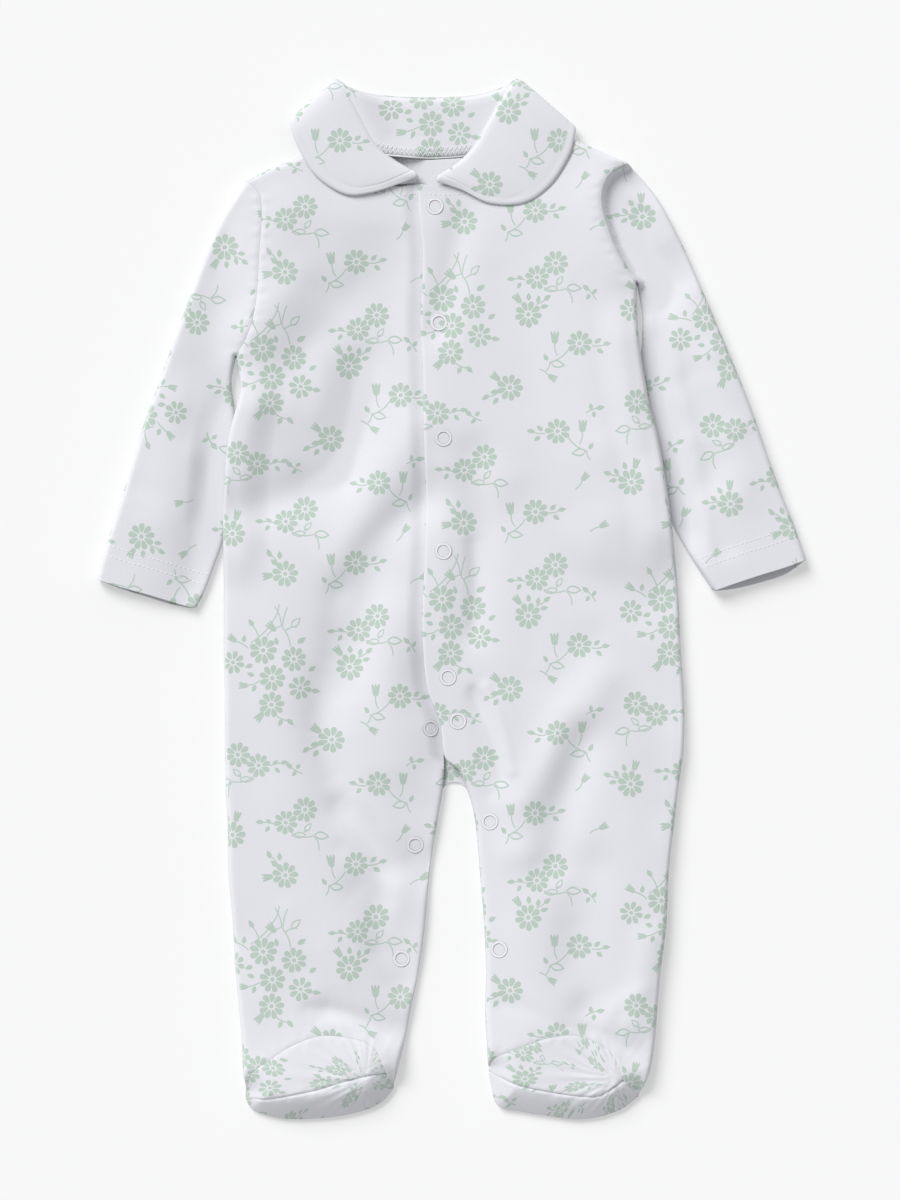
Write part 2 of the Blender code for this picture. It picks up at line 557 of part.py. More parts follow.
def unit(vectors):
    return vectors / np.maximum(np.linalg.norm(vectors, axis=-1, keepdims=True), 1e-9)


def nearest_inside(points, gap):
    """For each point of a grid, the neighbour that lies farthest from the rolled edges."""
    padded = np.pad(points, ((1, 1), (1, 1), (0, 0)), mode="edge")
    padded_gap = np.pad(gap, 1, mode="edge")
    rows, columns = gap.shape
    best, best_gap = points.copy(), gap - 1.0
    for i in range(3):
        for j in range(3):
            other = padded[i:i + rows, j:j + columns]
            other_gap = padded_gap[i:i + rows, j:j + columns]
            farther = other_gap > best_gap
            best = np.where(farther[..., None], other, best)
            best_gap = np.where(farther, other_gap, best_gap)
    return best


def toward_inside(points, away, gap, rolls):
    """The level direction away from the nearest rolled edge, also for points on that edge."""
    nudged = points + NUDGE * unit(nearest_inside(points, gap) - points)
    _, away_inside = distance(nudged, rolls)
    return np.where((gap > ON_EDGE)[..., None], unit(away), unit(away_inside))


def upper_surface(points, height, rolls, width, base):
    """Heights and inward directions of an upper piece over a grid of plan points."""
    gap, away = distance(points, rolls)
    away = toward_inside(points, away, gap, rolls)
    top = height(points)
    foot = base(points)
    wide = np.minimum(width(points), ROLL_FULLNESS * (top - foot) + ROLL_SPARE * width(points))
    level = 1.0 - np.clip(gap / wide, 0.0, 1.0)
    rise = np.sqrt(np.maximum(1.0 - level ** 2, 0.0))
    z = foot + (top - foot) * rise
    lean = (slope_of(height, points) * (rise ** 2)[..., None]
            + slope_of(base, points) * (rise * (1 - rise))[..., None]
            + away * ((top - foot) * level / wide)[..., None])
    inward = unit(np.concatenate([lean, -rise[..., None]], axis=-1))
    return np.concatenate([points, z[..., None]], axis=-1), inward


def lower_surface(points, rolls, lift, top):
    """The same for a lower piece, which lies flat and curls up to its seams."""
    gap, away = distance(points, rolls)
    away = toward_inside(points, away, gap, rolls)
    high = top(points)
    wide = np.minimum(BACK_ROLL, ROLL_FULLNESS * high)
    level = 1.0 - np.clip(gap / wide, 0.0, 1.0)
    rise = np.sqrt(np.maximum(1.0 - level ** 2, 0.0))
    z = lift(points) + high * (1.0 - rise)
    lean = away * (high * level / wide)[..., None] - slope_of(lift, points) * rise[..., None]
    inward = unit(np.concatenate([lean, rise[..., None]], axis=-1))
    return np.concatenate([points, z[..., None]], axis=-1), inward


# ---- plans: grids of points between four edges

def graded(width, middle, first, last):
    """Shares across a section: close together at its two edges, even between them."""
    left = first / width
    right = 1.0 - last[::-1] / width
    between = np.linspace(left[-1], right[0], middle + 2)[1:-1]
    return np.concatenate([left, between, right])


def plan(left, right, bottom, top, shares, hold):
    """Rows of points between two side edges, bent to meet a bottom and a top edge.

    bottom and top give points for the shares of the first and the last row; hold says how
    fast their bends die out in the rows between.
    """
    steps = np.hypot(*np.diff(left, axis=0).T) + np.hypot(*np.diff(right, axis=0).T)
    rise = np.concatenate([[0.0], np.cumsum(steps)]) / steps.sum()
    first, last = shares[0][:, None], shares[-1][:, None]
    low = bottom(shares[0]) - (left[0] * (1 - first) + right[0] * first)
    high = top(shares[-1]) - (left[-1] * (1 - last) + right[-1] * last)
    grid = []
    for i, share in enumerate(shares):
        across = share[:, None]
        row = left[i] * (1 - across) + right[i] * across
        grid.append(row + low * (1 - rise[i]) ** hold + high * rise[i] ** hold)
    return np.array(grid)


def cornered(first, second, corner):
    """An edge of two lines, with the corner between them at a share of the way."""
    def edge(share):
        before = along(first, np.clip(share / corner, 0.0, 1.0))
        after = along(second, np.clip((share - corner) / (1.0 - corner), 0.0, 1.0))
        return np.where((share <= corner)[:, None], before, after)
    return edge


def levels(foot, underarm, top, rows, near_crotch=(0.0,)):
    """Heights of the rows of a body panel along one of its side edges."""
    leg = np.linspace(foot, CROTCH_Y - CROTCH_DROP, rows["leg"])
    crotch = CROTCH_Y + np.array(near_crotch)
    body = np.linspace(CROTCH_Y, underarm, rows["body"], endpoint=False)[1:]
    arm = underarm + (top - underarm) * np.array(ARMHOLE_STEPS)
    return np.concatenate([leg, crotch, body, arm])


def outer_edge(side):
    """The side of the body and the armhole above it, as one rising line."""
    return np.vstack([BODY[side + "_side"], ARMHOLES[side][1:]])


def front_plan(side):
    """One front, from the foot's arc to the shoulder and the neck seam."""
    foot = foot_line(side, "arc_y")
    outer, front = outer_edge(side), BODY[side + "_edge"]
    underarm_y, tip_y = ARMHOLES[side][0, 1], ARMHOLES[side][-1, 1]
    neck_y = neckline(side)[-1, 1]
    if side == "right":
        left = at_heights(outer, levels(foot[0, 1], underarm_y, tip_y, FRONT_ROWS))
        right = at_heights(front, levels(foot[-1, 1], FRONT_LEVEL, neck_y, FRONT_ROWS))
    else:
        left = at_heights(front, levels(foot[0, 1], FRONT_LEVEL, neck_y, FRONT_ROWS))
        right = at_heights(outer, levels(foot[-1, 1], underarm_y, tip_y, FRONT_ROWS))
    rows = np.arange(len(left))
    at_side = widened(rows - FRONT_ROWS["leg"] - FRONT_ROWS["body"])
    at_front = front_steps(side, (right if side == "right" else left)[:, 1])
    first, last = (at_side, at_front) if side == "right" else (at_front, at_side)
    shares = side_shares(left, right, first, last, FRONT_ROWS["middle"])
    arc = foot_line(side, "arc_y", 0, INSTEP_END[side] + 1)
    heel = foot_line(side, "arc_y", INSTEP_END[side])
    bottom = cornered(arc, heel, shares[0][FOOT_CORNER])
    corner = shares[-1][NECK_COLUMN["front", side]]
    if side == "right":
        top = cornered(shoulder(side), neckline(side), corner)
    else:
        top = cornered(neckline(side)[::-1], shoulder(side)[::-1], corner)
    return plan(left, right, bottom, top, shares, hold=7.0)


def side_shares(left, right, first, last, middle):
    """Shares for every row; first and last hold each row's steps from its two edges."""
    widths = np.hypot(*(right - left).T)
    return [graded(widths[i], middle, first[i], last[i]) for i in range(len(left))]


def widened(rows_past):
    """Steps from an edge, as for a rolled edge until rows_past is 0 and wider after it."""
    wide = 1.0 + (OPEN_EDGE - 1.0) * smoothstep(rows_past / 3.0)
    return wide[:, None] * np.array(EDGE_STEPS)


def front_steps(side, y):
    """Steps from the front edge: rolled in the leg; on the right front, two at the overlap."""
    narrow = np.array(EDGE_STEPS)
    wide = OPEN_EDGE * narrow + np.zeros((len(y), 1))
    if side == "right":
        left_edge = np.interp(y, BODY["left_edge"][:, 1], BODY["left_edge"][:, 0])
        right_edge = np.interp(y, BODY["right_edge"][:, 1], BODY["right_edge"][:, 0])
        lap = np.maximum(right_edge - left_edge, LEAST_LAP)
        wide = np.stack([0 * lap, 0.4 * lap, lap + 1.2, lap + OVERLAP_RAMP + 2.0], axis=-1)
    above_leg = smoothstep((y - CROTCH_Y) / LEG_TO_BODY)[:, None]
    return narrow * (1 - above_leg) + wide * above_leg


def back_plan(side):
    """One half of the back, from the end of the foot to the shoulder, out to the centre line."""
    foot = foot_line(side, "end_y")
    at_side, at_edge = (0, -1) if side == "right" else (-1, 0)
    outer = np.vstack([foot[[at_side]], leg_side(side), ARMHOLES[side][1:]])
    inner = np.vstack([foot[[at_edge]], back_leg_edge(side), nape(side)[-1:]])
    underarm_y, tip_y = ARMHOLES[side][0, 1], ARMHOLES[side][-1, 1]
    edge = at_heights(outer, levels(outer[0, 1], underarm_y, tip_y, BACK_ROWS, CROTCH_STEPS))
    centre = at_heights(inner, levels(inner[0, 1], FRONT_LEVEL, inner[-1, 1], BACK_ROWS, CROTCH_STEPS))
    rows = np.arange(len(edge))
    past_crotch = rows - BACK_ROWS["leg"] - len(CROTCH_STEPS)
    at_side = widened(past_crotch - BACK_ROWS["body"] + 1)
    at_centre = widened(past_crotch)
    if side == "right":
        shares = side_shares(edge, centre, at_side, at_centre, BACK_ROWS["middle"])
        top = cornered(shoulder(side), nape(side), shares[-1][NECK_COLUMN["back", side]])
        return plan(edge, centre, lambda share: along(foot, share), top, shares, hold=7.0)
    shares = side_shares(centre, edge, at_centre, at_side, BACK_ROWS["middle"])
    top = cornered(nape(side)[::-1], shoulder(side)[::-1], shares[-1][NECK_COLUMN["back", side]])
    return plan(centre, edge, lambda share: along(foot, share), top, shares, hold=7.0)


def instep_plan(side, front):
    """The instep, from the toe seam up to the front's arc; front is the front's own plan."""
    arc = front[0, :FOOT_CORNER + front.shape[1] + 1].copy()
    toe = along(TOE_SEAMS[side], shares_of(arc))
    for line in (arc, toe):
        line[-1] = line[-2] + INSTEP_POINT * (line[-1] - line[-2])
    steps = np.linspace(0.0, 1.0, INSTEP_ROWS)[:, None, None]
    return toe * (1 - steps) + arc * steps


def sole_plan(side, front):
    """The sole, from the end of the foot up to the toe seam and the front's heel."""
    corner = FOOT_CORNER + front.shape[1]
    arc = front[0, :corner + 1]
    end = paired(FOOT_COLUMNS, FEET[side], "x", "end_y")
    share = shares_of(arc)
    heel_share = shares_of(front[0, corner:])[1:]
    seam = np.vstack([along(TOE_SEAMS[side], share), front[0, corner + 1:]])
    first = smooth_line(end)[:INSTEP_END[side] * CURVE_STEPS + 1]
    second = smooth_line(end)[INSTEP_END[side] * CURVE_STEPS:]
    outline = np.vstack([along(first, share), along(second, heel_share)])
    for line in (seam, outline):
        line[0] = line[1] + SOLE_POINT * (line[0] - line[1])
        line[-1] = line[-2] + SOLE_POINT * (line[-1] - line[-2])
    steps = np.array(SOLE_STEPS)[:, None, None]
    return outline * (1 - steps) + seam * steps


def sleeve_plan(side, armhole, layer):
    """One layer of a sleeve, from the armhole to the hem, from its outer fold to its seam."""
    outer, inner = SLEEVES[side + "_outer"], SLEEVES[side + "_inner"]
    rows = np.linspace(0.0, 1.0, SLEEVE_ROWS)
    left, right = along(outer, rows), along(inner, rows ** UNDERARM_FAN)
    bow = smooth_line(paired(CUFF_COLUMNS, CUFF_SECTIONS, "share", side + "_bow"))
    if layer == "under":
        bow[:, 1] += smooth_line(paired(CUFF_COLUMNS, CUFF_SECTIONS, "share", side + "_drop"))[:, 1]
    down = unit(outer[-1] - outer[-4] + inner[-1] - inner[-4])

    def hem(share):
        across = share[:, None]
        out = np.interp(share, bow[:, 0], bow[:, 1])[:, None]
        return left[-1] * (1 - across) + right[-1] * across + out * down

    middle = len(ARMHOLE_STEPS) - 2 * len(EDGE_STEPS)
    steps = widened(np.zeros(SLEEVE_ROWS))
    shares = side_shares(left, right, steps, steps, middle)
    grid = plan(left, right, lambda share: armhole, hem, shares, hold=6.0)
    reach = np.linalg.norm(grid - ARMHOLES[side][0], axis=-1)
    outward = -1.0 if side == "right" else 1.0
    grid[..., 0] += outward * UNDERARM_CLEAR[side] * smoothstep(1.0 - reach / UNDERARM_REACH)
    return grid


# ---- walls

def sewn(points, inward, stretches):
    """Draws the sewn stretches of an edge back by half a seam gap, with upright end faces.

    A stretch is the first and the last index along one border of the grid.
    """
    rows, columns = points.shape[:2]
    borders = {"bottom": (points[0], points[1]), "top": (points[-1], points[-2]),
               "left": (points[:, 0], points[:, 1]), "right": (points[:, -1], points[:, -2])}
    moved, turned = points.copy(), inward.copy()
    views = {"bottom": (moved[0], turned[0]), "top": (moved[-1], turned[-1]),
             "left": (moved[:, 0], turned[:, 0]), "right": (moved[:, -1], turned[:, -1])}
    for border, first, last in stretches:
        line, beside = (part[first:last + 1, :2] for part in borders[border])
        tangent = unit(np.gradient(line, axis=0))
        across = beside - line
        normal = across - (across * tangent).sum(-1, keepdims=True) * tangent
        room = np.linalg.norm(normal, axis=-1, keepdims=True)
        normal = unit(normal)
        place, turn = (part[first:last + 1] for part in views[border])
        place[:, :2] += normal * np.minimum(SEAM_GAP / 2, MOST_INSET * room)
        toward = (turn[:, :2] * normal).sum(-1, keepdims=True)
        rolled = np.abs(turn[:, 2:]) < ROLLED
        turn[:, :2] -= normal * np.where(rolled, np.minimum(toward, 0.0), toward)
        turn[:] = unit(turn)
    return moved, turned


def rim(first, second, flip):
    """Faces between two rows of numbered points."""
    faces = []
    for i in range(len(first) - 1):
        face = (first[i], first[i + 1], second[i + 1], second[i])
        faces.append(face[::-1] if flip else face)
    return faces


def grid_faces(numbers, flip):
    faces = []
    for i in range(len(numbers) - 1):
        faces += rim(numbers[i], numbers[i + 1], flip)
    return faces


def wall_mesh(sheets):
    """Points and faces of one closed wall, from sheets of outer and inner points.

    Each sheet is (outer, inner, open borders): an open border is a list of stretches, each
    (border, first, last), along which the wall has an end face.
    """
    points, faces = [], []
    for outer, inner, ends in sheets:
        size = outer.shape[0] * outer.shape[1]
        start = len(points)
        outside = start + np.arange(size).reshape(outer.shape[:2])
        inside = outside + size
        points += list(outer.reshape(-1, 3)) + list(inner.reshape(-1, 3))
        faces += grid_faces(outside, False) + grid_faces(inside, True)
        lines = {"bottom": np.s_[0, :], "top": np.s_[-1, :], "left": np.s_[:, 0], "right": np.s_[:, -1]}
        for border, first, last in ends:
            along_it = slice(first, None if last is None else last + 1)
            out, into = outside[lines[border]][along_it], inside[lines[border]][along_it]
            faces += rim(out, into, flip=border in ("bottom", "right"))
    return points, faces


def add_object(name, points, faces, material):
    """One closed, smooth-shaded object from millimetre points, its faces turned outwards."""
    bm = bmesh.new()
    verts = [bm.verts.new(Vector(point) * MM) for point in points]
    for face in faces:
        corners = [verts[int(i)] for i in face]
        bm.faces.new(corners)
    bmesh.ops.remove_doubles(bm, verts=bm.verts, dist=WELD * MM)
    bmesh.ops.triangulate(bm, faces=bm.faces)
    if bm.calc_volume(signed=True) < 0.0:
        bmesh.ops.reverse_faces(bm, faces=bm.faces)
    mesh = bpy.data.meshes.new(name)
    bm.to_mesh(mesh)
    bm.free()
    mesh.materials.append(material)
    mesh.shade_smooth()
    mesh.set_sharp_from_angle(angle=math.radians(45.0))
    piece = bpy.data.objects.new(name, mesh)
    bpy.context.scene.collection.objects.link(piece)
    return piece


def inner_points(outer, inward, thickness=CLOTH):
    inner = outer + thickness * inward
    inner[..., 2] = np.maximum(inner[..., 2], 0.0)
    return inner


ALL_ROUND = (("bottom", 0, None), ("top", 0, None), ("left", 0, None), ("right", 0, None))


# ---- the pieces of cloth

def front_height(side):
    """The height of a front: the right one steps down where the left one lies on it."""
    def height(points):
        z = plain_height(points) + body_lift(points)
        return z - OVERLAP_STEP * under_overlap(points) if side == "right" else z
    return height


def seam_base(points):
    return SEAM_RISE + SEAM_GAP / 2 + body_lift(points)


def under_collar(side, columns):
    """The stretch of a front's top edge that is the neck seam."""
    corner = NECK_COLUMN["front", side]
    return ("top", corner, columns - 1) if side == "right" else ("top", 0, corner)


def add_front(side, material):
    grid = front_plan(side)
    rows, columns = grid.shape[:2]
    outer_column = "left" if side == "right" else "right"
    armhole = (outer_column, rows - len(ARMHOLE_STEPS), rows - 1)
    outer, inward = upper_surface(grid, front_height(side), FRONT_ROLLS, roll_width, seam_base)
    outer, inward = sewn(outer, inward, (("bottom", 0, columns - 1), armhole,
                                         under_collar(side, columns)))
    inner = inner_points(outer, inward)
    return grid, add_object("front_" + side, *wall_mesh([(outer, inner, ALL_ROUND)]), material)


def back_seam(points):
    return np.full(points.shape[:-1], SEAM_RISE - SEAM_GAP / 2)


def add_back(material):
    """The back in one piece: two halves that share the points of the centre line."""
    crotch = BACK_ROWS["leg"]
    halves, sheets = {}, []
    for side in SIDES:
        grid = back_plan(side)
        rows, columns = grid.shape[:2]
        edge = "left" if side == "right" else "right"
        neck = NECK_COLUMN["back", side]
        first, last = (neck, columns - 1) if side == "right" else (0, neck)
        surface = lower_surface(grid, BACK_ROLLS, body_lift, back_seam)
        halves[side] = sewn(*surface, ((edge, rows - len(ARMHOLE_STEPS), rows - 1), ("top", first, last)))
    for k in (0, 1):
        right, left = halves["right"][k][crotch:, -1], halves["left"][k][crotch:, 0]
        shared = (right + left) / 2
        right[:] = left[:] = shared
    for side in SIDES:
        outer, inward = halves[side]
        edge, centre = ("left", "right") if side == "right" else ("right", "left")
        ends = (("bottom", 0, None), ("top", 0, None), (edge, 0, None), (centre, 0, crotch))
        sheets.append((outer, inner_points(outer, unit(inward)), ends))
    add_object("back", *wall_mesh(sheets), material)


def sleeve_top(side):
    def height(points):
        plain = plain_height(points)
        pressed = tucked(points, side)
        return SLEEVE_TUCK * pressed + plain * (1 - pressed) + neck_lift(points)
    return height


def sleeve_seam(side):
    """The height at which the two layers of a sleeve meet along its folds."""
    return lambda points: np.minimum(SEAM_RISE, sleeve_top(side)(points) / 2) + neck_lift(points)


def add_sleeve(side, front_grid, material):
    """A sleeve in one piece: a tube, flat below and lofted above, open at both ends."""
    column = 0 if side == "right" else -1
    armhole = front_grid[-len(ARMHOLE_STEPS):, column][::-1]
    rolls = SLEEVE_ROLLS[side]
    sheets = []
    upper = sleeve_plan(side, armhole, "upper")
    lower = sleeve_plan(side, armhole, "under")
    top = upper_surface(upper, sleeve_top(side), rolls, roll_width, sleeve_seam(side))
    under = lower_surface(lower, rolls, neck_lift, lambda p: sleeve_seam(side)(p) - neck_lift(p))
    edges = (0, -1)
    for edge in edges:
        under[0][:, edge] = top[0][:, edge]
        under[1][:, edge] = top[1][:, edge] = level_only(top[1][:, edge])
    last = len(ARMHOLE_STEPS) - 1
    for surface in (top, under):
        outer, inward = sewn(*surface, (("bottom", 0, last),))
        sheets.append((outer, inner_points(outer, inward), (("bottom", 0, None), ("top", 0, None))))
    for k in (0, 1):
        outer, inner, ends = sheets[k]
        if k == 1:
            outer, inner = outer[:, ::-1], inner[:, ::-1]
            sheets[k] = (outer, inner, ends)
    add_object("sleeve_" + side, *wall_mesh(sheets), material)


def level_only(inward):
    flat_way = inward.copy()
    flat_way[..., 2] = 0.0
    return unit(flat_way)


def add_foot(side, front_grid, material):
    """The instep and the sole of one foot, on the same height field as the front."""
    height = front_height(side)
    plans = {"instep_": instep_plan(side, front_grid), "sole_": sole_plan(side, front_grid)}
    for name, grid in plans.items():
        outer, inward = upper_surface(grid, height, FRONT_ROLLS, roll_width, seam_base)
        last = grid.shape[1] - 1
        seams = (("top", 0, last), ("bottom", 0, last)) if name == "instep_" else (("top", 0, last),)
        outer, inward = sewn(outer, inward, seams)
        add_object(name + side, *wall_mesh([(outer, inner_points(outer, inward), ALL_ROUND)]), material)


# ---- the collar

def collar_stations():
    """The collar's sections, smoothed, as rows of turn, seam, roll and edge."""
    values = np.array([row[1:] for row in COLLAR_SECTIONS], dtype=float)
    return smooth_line(values, COLLAR_SPANS)


def add_collar(material):
    stations = collar_stations()
    middle = len(stations) // 2
    rows = []
    for i, station in enumerate(stations):
        turn = math.radians(max(-90.0, min(90.0, station[0])))
        in_front = (1.0 + math.sin(turn)) / 2
        at_side = math.cos(turn)
        outward = np.array([-1.0 if i < middle else 1.0, 0.0])
        seam, roll, edge = np.reshape(station[1:], (3, 2))
        rising = unit(roll - seam)
        seam = seam + rising * (NECK_INSET + SHOULDER_INSET * at_side)
        roll = roll - rising * ROLL_INSET
        row = []
        for start, end, profile in ((seam, roll, STAND_PROFILE), (roll, edge, LEAF_PROFILE)):
            for _, share, back_z, front_z, aside in profile:
                place = start + (end - start) * share + outward * aside * at_side
                row.append((*place, back_z + (front_z - back_z) * in_front))
        rows.append(row)
    centre = np.array(rows)
    along_way = np.gradient(centre, axis=0)
    across_way = np.gradient(centre, axis=1)
    normal = unit(np.cross(along_way, across_way))
    outer = centre + normal * COLLAR_CLOTH / 2
    inner = centre - normal * COLLAR_CLOTH / 2
    outer[..., 2] = np.maximum(outer[..., 2], 0.0)
    inner[..., 2] = np.maximum(inner[..., 2], 0.0)
    add_object("collar", *wall_mesh([(outer, inner, ALL_ROUND)]), material)


# ---- the press studs

RING_PROFILE = ((STUD_INNER, 0.0), (STUD_OUTER, 0.0), (STUD_OUTER, 0.55), (4.3, STUD_HIGH),
                (3.4, STUD_HIGH), (STUD_INNER, 0.5))


def add_stud(name, x, y, cloth, material):
    """A ring stud, turned from its profile, standing on the cloth's own slope."""
    tree = BVHTree.FromObject(cloth, bpy.context.evaluated_depsgraph_get())
    above_all = 1.0
    turns = np.linspace(0.0, 2 * math.pi, STUD_SIDES, endpoint=False)
    ring = np.column_stack([np.cos(turns), np.sin(turns)])

    def surface(at_x, at_y):
        hit = tree.ray_cast(Vector((at_x * MM, at_y * MM, above_all)), Vector((0.0, 0.0, -1.0)))
        return hit[0].z / MM

    around = np.concatenate([ring * radius for radius in (STUD_INNER, STUD_MIDDLE, STUD_OUTER)])
    high = np.array([surface(x + dx, y + dy) for dx, dy in around])
    level = np.column_stack([around, np.ones(len(around))])
    slope_x, slope_y, height = np.linalg.lstsq(level, high, rcond=None)[0]
    normal = unit(np.array([-slope_x, -slope_y, 1.0]))
    height += (high - level @ np.array([slope_x, slope_y, height])).max() + SEAM_GAP
    bm = bmesh.new()
    loops = [[bm.verts.new((r * c * MM, r * s * MM, z * MM)) for c, s in ring] for r, z in RING_PROFILE]
    for i, loop in enumerate(loops):
        following = loops[(i + 1) % len(loops)]
        for k in range(STUD_SIDES):
            n = (k + 1) % STUD_SIDES
            bm.faces.new((loop[k], loop[n], following[n], following[k]))
    if bm.calc_volume(signed=True) < 0.0:
        bmesh.ops.reverse_faces(bm, faces=bm.faces)
    mesh = bpy.data.meshes.new(name)
    bm.to_mesh(mesh)
    bm.free()
    mesh.materials.append(material)
    mesh.shade_smooth()
    mesh.set_sharp_from_angle(angle=math.radians(40.0))
    stud = bpy.data.objects.new(name, mesh)
    stud.location = Vector((x, y, height)) * MM
    stud.rotation_mode = "QUATERNION"
    stud.rotation_quaternion = Vector((0.0, 0.0, 1.0)).rotation_difference(Vector(normal))
    bpy.context.scene.collection.objects.link(stud)


def principled(name, colour, roughness, metallic):
    material = bpy.data.materials.new(name)
    material.use_nodes = True
    shader = material.node_tree.nodes["Principled BSDF"]
    shader.inputs["Base Color"].default_value = (*colour, 1.0)
    shader.inputs["Roughness"].default_value = roughness
    shader.inputs["Metallic"].default_value = metallic
    return material


def main():
    for old in list(bpy.data.objects):
        bpy.data.objects.remove(old, do_unlink=True)
    cotton = principled("printed_cotton", CLOTH_COLOUR, 0.85, 0.0)
    enamel = principled("white_enamel", STUD_COLOUR, 0.35, 0.0)
    add_back(cotton)
    cloth = {}
    for side in SIDES:
        grid, cloth[side] = add_front(side, cotton)
        add_sleeve(side, grid, cotton)
        add_foot(side, grid, cotton)
    add_collar(cotton)
    bpy.context.view_layer.update()
    for name, side, x, y in STUDS:
        add_stud(name, x, y, cloth[side], enamel)


main()
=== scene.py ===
# %% [markdown]
# # A footed baby sleepsuit, laid flat
#
# The real garment is cut from soft cotton interlock that is printed with small green flowers, and
# it lies on its back on a pale table. Everything below is built in the garment's own frame: X runs
# to the wearer's left, Y to the head and Z up from the table. The first step loads the solid
# model, which fixes where every piece is. It stays the ruler for all that follows.

# %% Load the frame
import math
from functools import partialmethod

import bmesh
import bpy
import numpy as np
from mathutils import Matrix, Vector
from mathutils.geometry import delaunay_2d_cdt


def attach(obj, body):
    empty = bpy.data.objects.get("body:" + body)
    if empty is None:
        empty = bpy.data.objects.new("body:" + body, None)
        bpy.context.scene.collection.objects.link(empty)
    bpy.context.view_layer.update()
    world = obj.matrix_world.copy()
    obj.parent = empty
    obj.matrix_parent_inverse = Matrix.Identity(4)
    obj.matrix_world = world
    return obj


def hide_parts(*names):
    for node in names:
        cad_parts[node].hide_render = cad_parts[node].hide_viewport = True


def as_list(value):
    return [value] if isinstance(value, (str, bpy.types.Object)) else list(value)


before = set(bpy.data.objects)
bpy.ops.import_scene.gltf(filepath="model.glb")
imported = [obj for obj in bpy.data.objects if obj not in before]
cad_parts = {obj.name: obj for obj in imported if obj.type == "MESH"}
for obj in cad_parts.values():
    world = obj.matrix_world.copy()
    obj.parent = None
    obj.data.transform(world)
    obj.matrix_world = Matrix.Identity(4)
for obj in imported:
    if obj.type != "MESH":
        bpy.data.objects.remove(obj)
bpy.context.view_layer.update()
print("pieces in the frame:", len(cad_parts))

# %% [markdown]
# ## Light, floor and camera
#
# White cloth on a white table lives on its shadows. One wide soft lamp stands high to the left of
# the collar, so that slopes that fall to the right turn grey, and a pale sky fills the rest. A
# narrow lamp would be simpler to aim, but it would draw a hard edge under every fold. The camera
# hangs straight above the garment with a long lens, as for a catalogue picture.

# %% Camera, floor and lamps
scene = bpy.context.scene
scene.view_settings.view_transform = "Standard"
VIEW_HEIGHT = 0.66      # metres of table from the top of the picture to its bottom
VIEW_CENTRE = (-0.0008, -0.0003)
LENS = 100.0
SENSOR = 36.0
FAR_CLIP = 20.0
TABLE_SIDE = 6.0
TABLE_DROP = 0.0002     # below the cloth, so that the two never share a face
TABLE_GLOW = 0.32       # the table is lit a little from below, which thins the shadows on it
LAMP_FROM = (-0.6, 0.8, 0.86)
LAMP_SPREAD = 34.0      # degrees: a lamp as wide as a window
LAMP_STRENGTH = 2.75
SKY = {"Color": (0.985, 0.99, 1.0, 1.0), "Strength": 0.46}
TABLE_PAINT = {"Base Color": (0.6, 0.6, 0.6, 1.0), "Emission Color": (1.0, 1.0, 1.0, 1.0),
               "Emission Strength": TABLE_GLOW, "Roughness": 0.9, "Specular IOR Level": 0.2}


def placed(name, data):
    thing = bpy.data.objects.new(name, data)
    scene.collection.objects.link(thing)
    return thing


def set_inputs(node, values):
    for name, value in values.items():
        node.inputs[name].default_value = value


def look_straight_down():
    camera = placed("camera", bpy.data.cameras.new("camera"))
    camera.data.lens = LENS
    camera.data.sensor_width = SENSOR
    camera.data.clip_end = FAR_CLIP
    reach = VIEW_HEIGHT * LENS / SENSOR
    camera.location = (*VIEW_CENTRE, reach)
    scene.camera = camera
    return reach


def soft_lamp():
    lamp = placed("window", bpy.data.lights.new("window", "SUN"))
    lamp.data.angle = math.radians(LAMP_SPREAD)
    lamp.data.energy = LAMP_STRENGTH
    lamp.rotation_mode = "QUATERNION"
    lamp.rotation_quaternion = (-Vector(LAMP_FROM)).to_track_quat("-Z", "Y")


def pale_floor():
    mesh = bpy.data.meshes.new("table_top")
    low, high = -TABLE_SIDE / 2, TABLE_SIDE / 2
    mesh.from_pydata([(low, low, 0), (high, low, 0), (high, high, 0), (low, high, 0)], [],
                     [(0, 1, 2, 3)])
    table_top = placed("table_top", mesh)
    table_top.location = (0.0, 0.0, -TABLE_DROP)
    paint = bpy.data.materials.new("pale_table")
    paint.use_nodes = True
    set_inputs(paint.node_tree.nodes["Principled BSDF"], TABLE_PAINT)
    mesh.materials.append(paint)


reach = look_straight_down()
pale_floor()
soft_lamp()
world = bpy.data.worlds.new("sky")
world.use_nodes = True
set_inputs(world.node_tree.nodes["Background"], SKY)
scene.world = world
print(f"camera {reach:.2f} m above the table")

# %% [markdown]
# ## The lines that the pieces are cut along
#
# A pattern cutter draws a sleepsuit as a few long curves: two sides, two front edges, the armholes,
# the shoulders, the neck, and the seams of the feet. Here each curve is a short table of named
# sections with a smooth line through them. The same tables drive the solid model, so a shell that
# is cut from them always fits it. Copying points out of the solids would also fit, but then no
# number would say what it means.

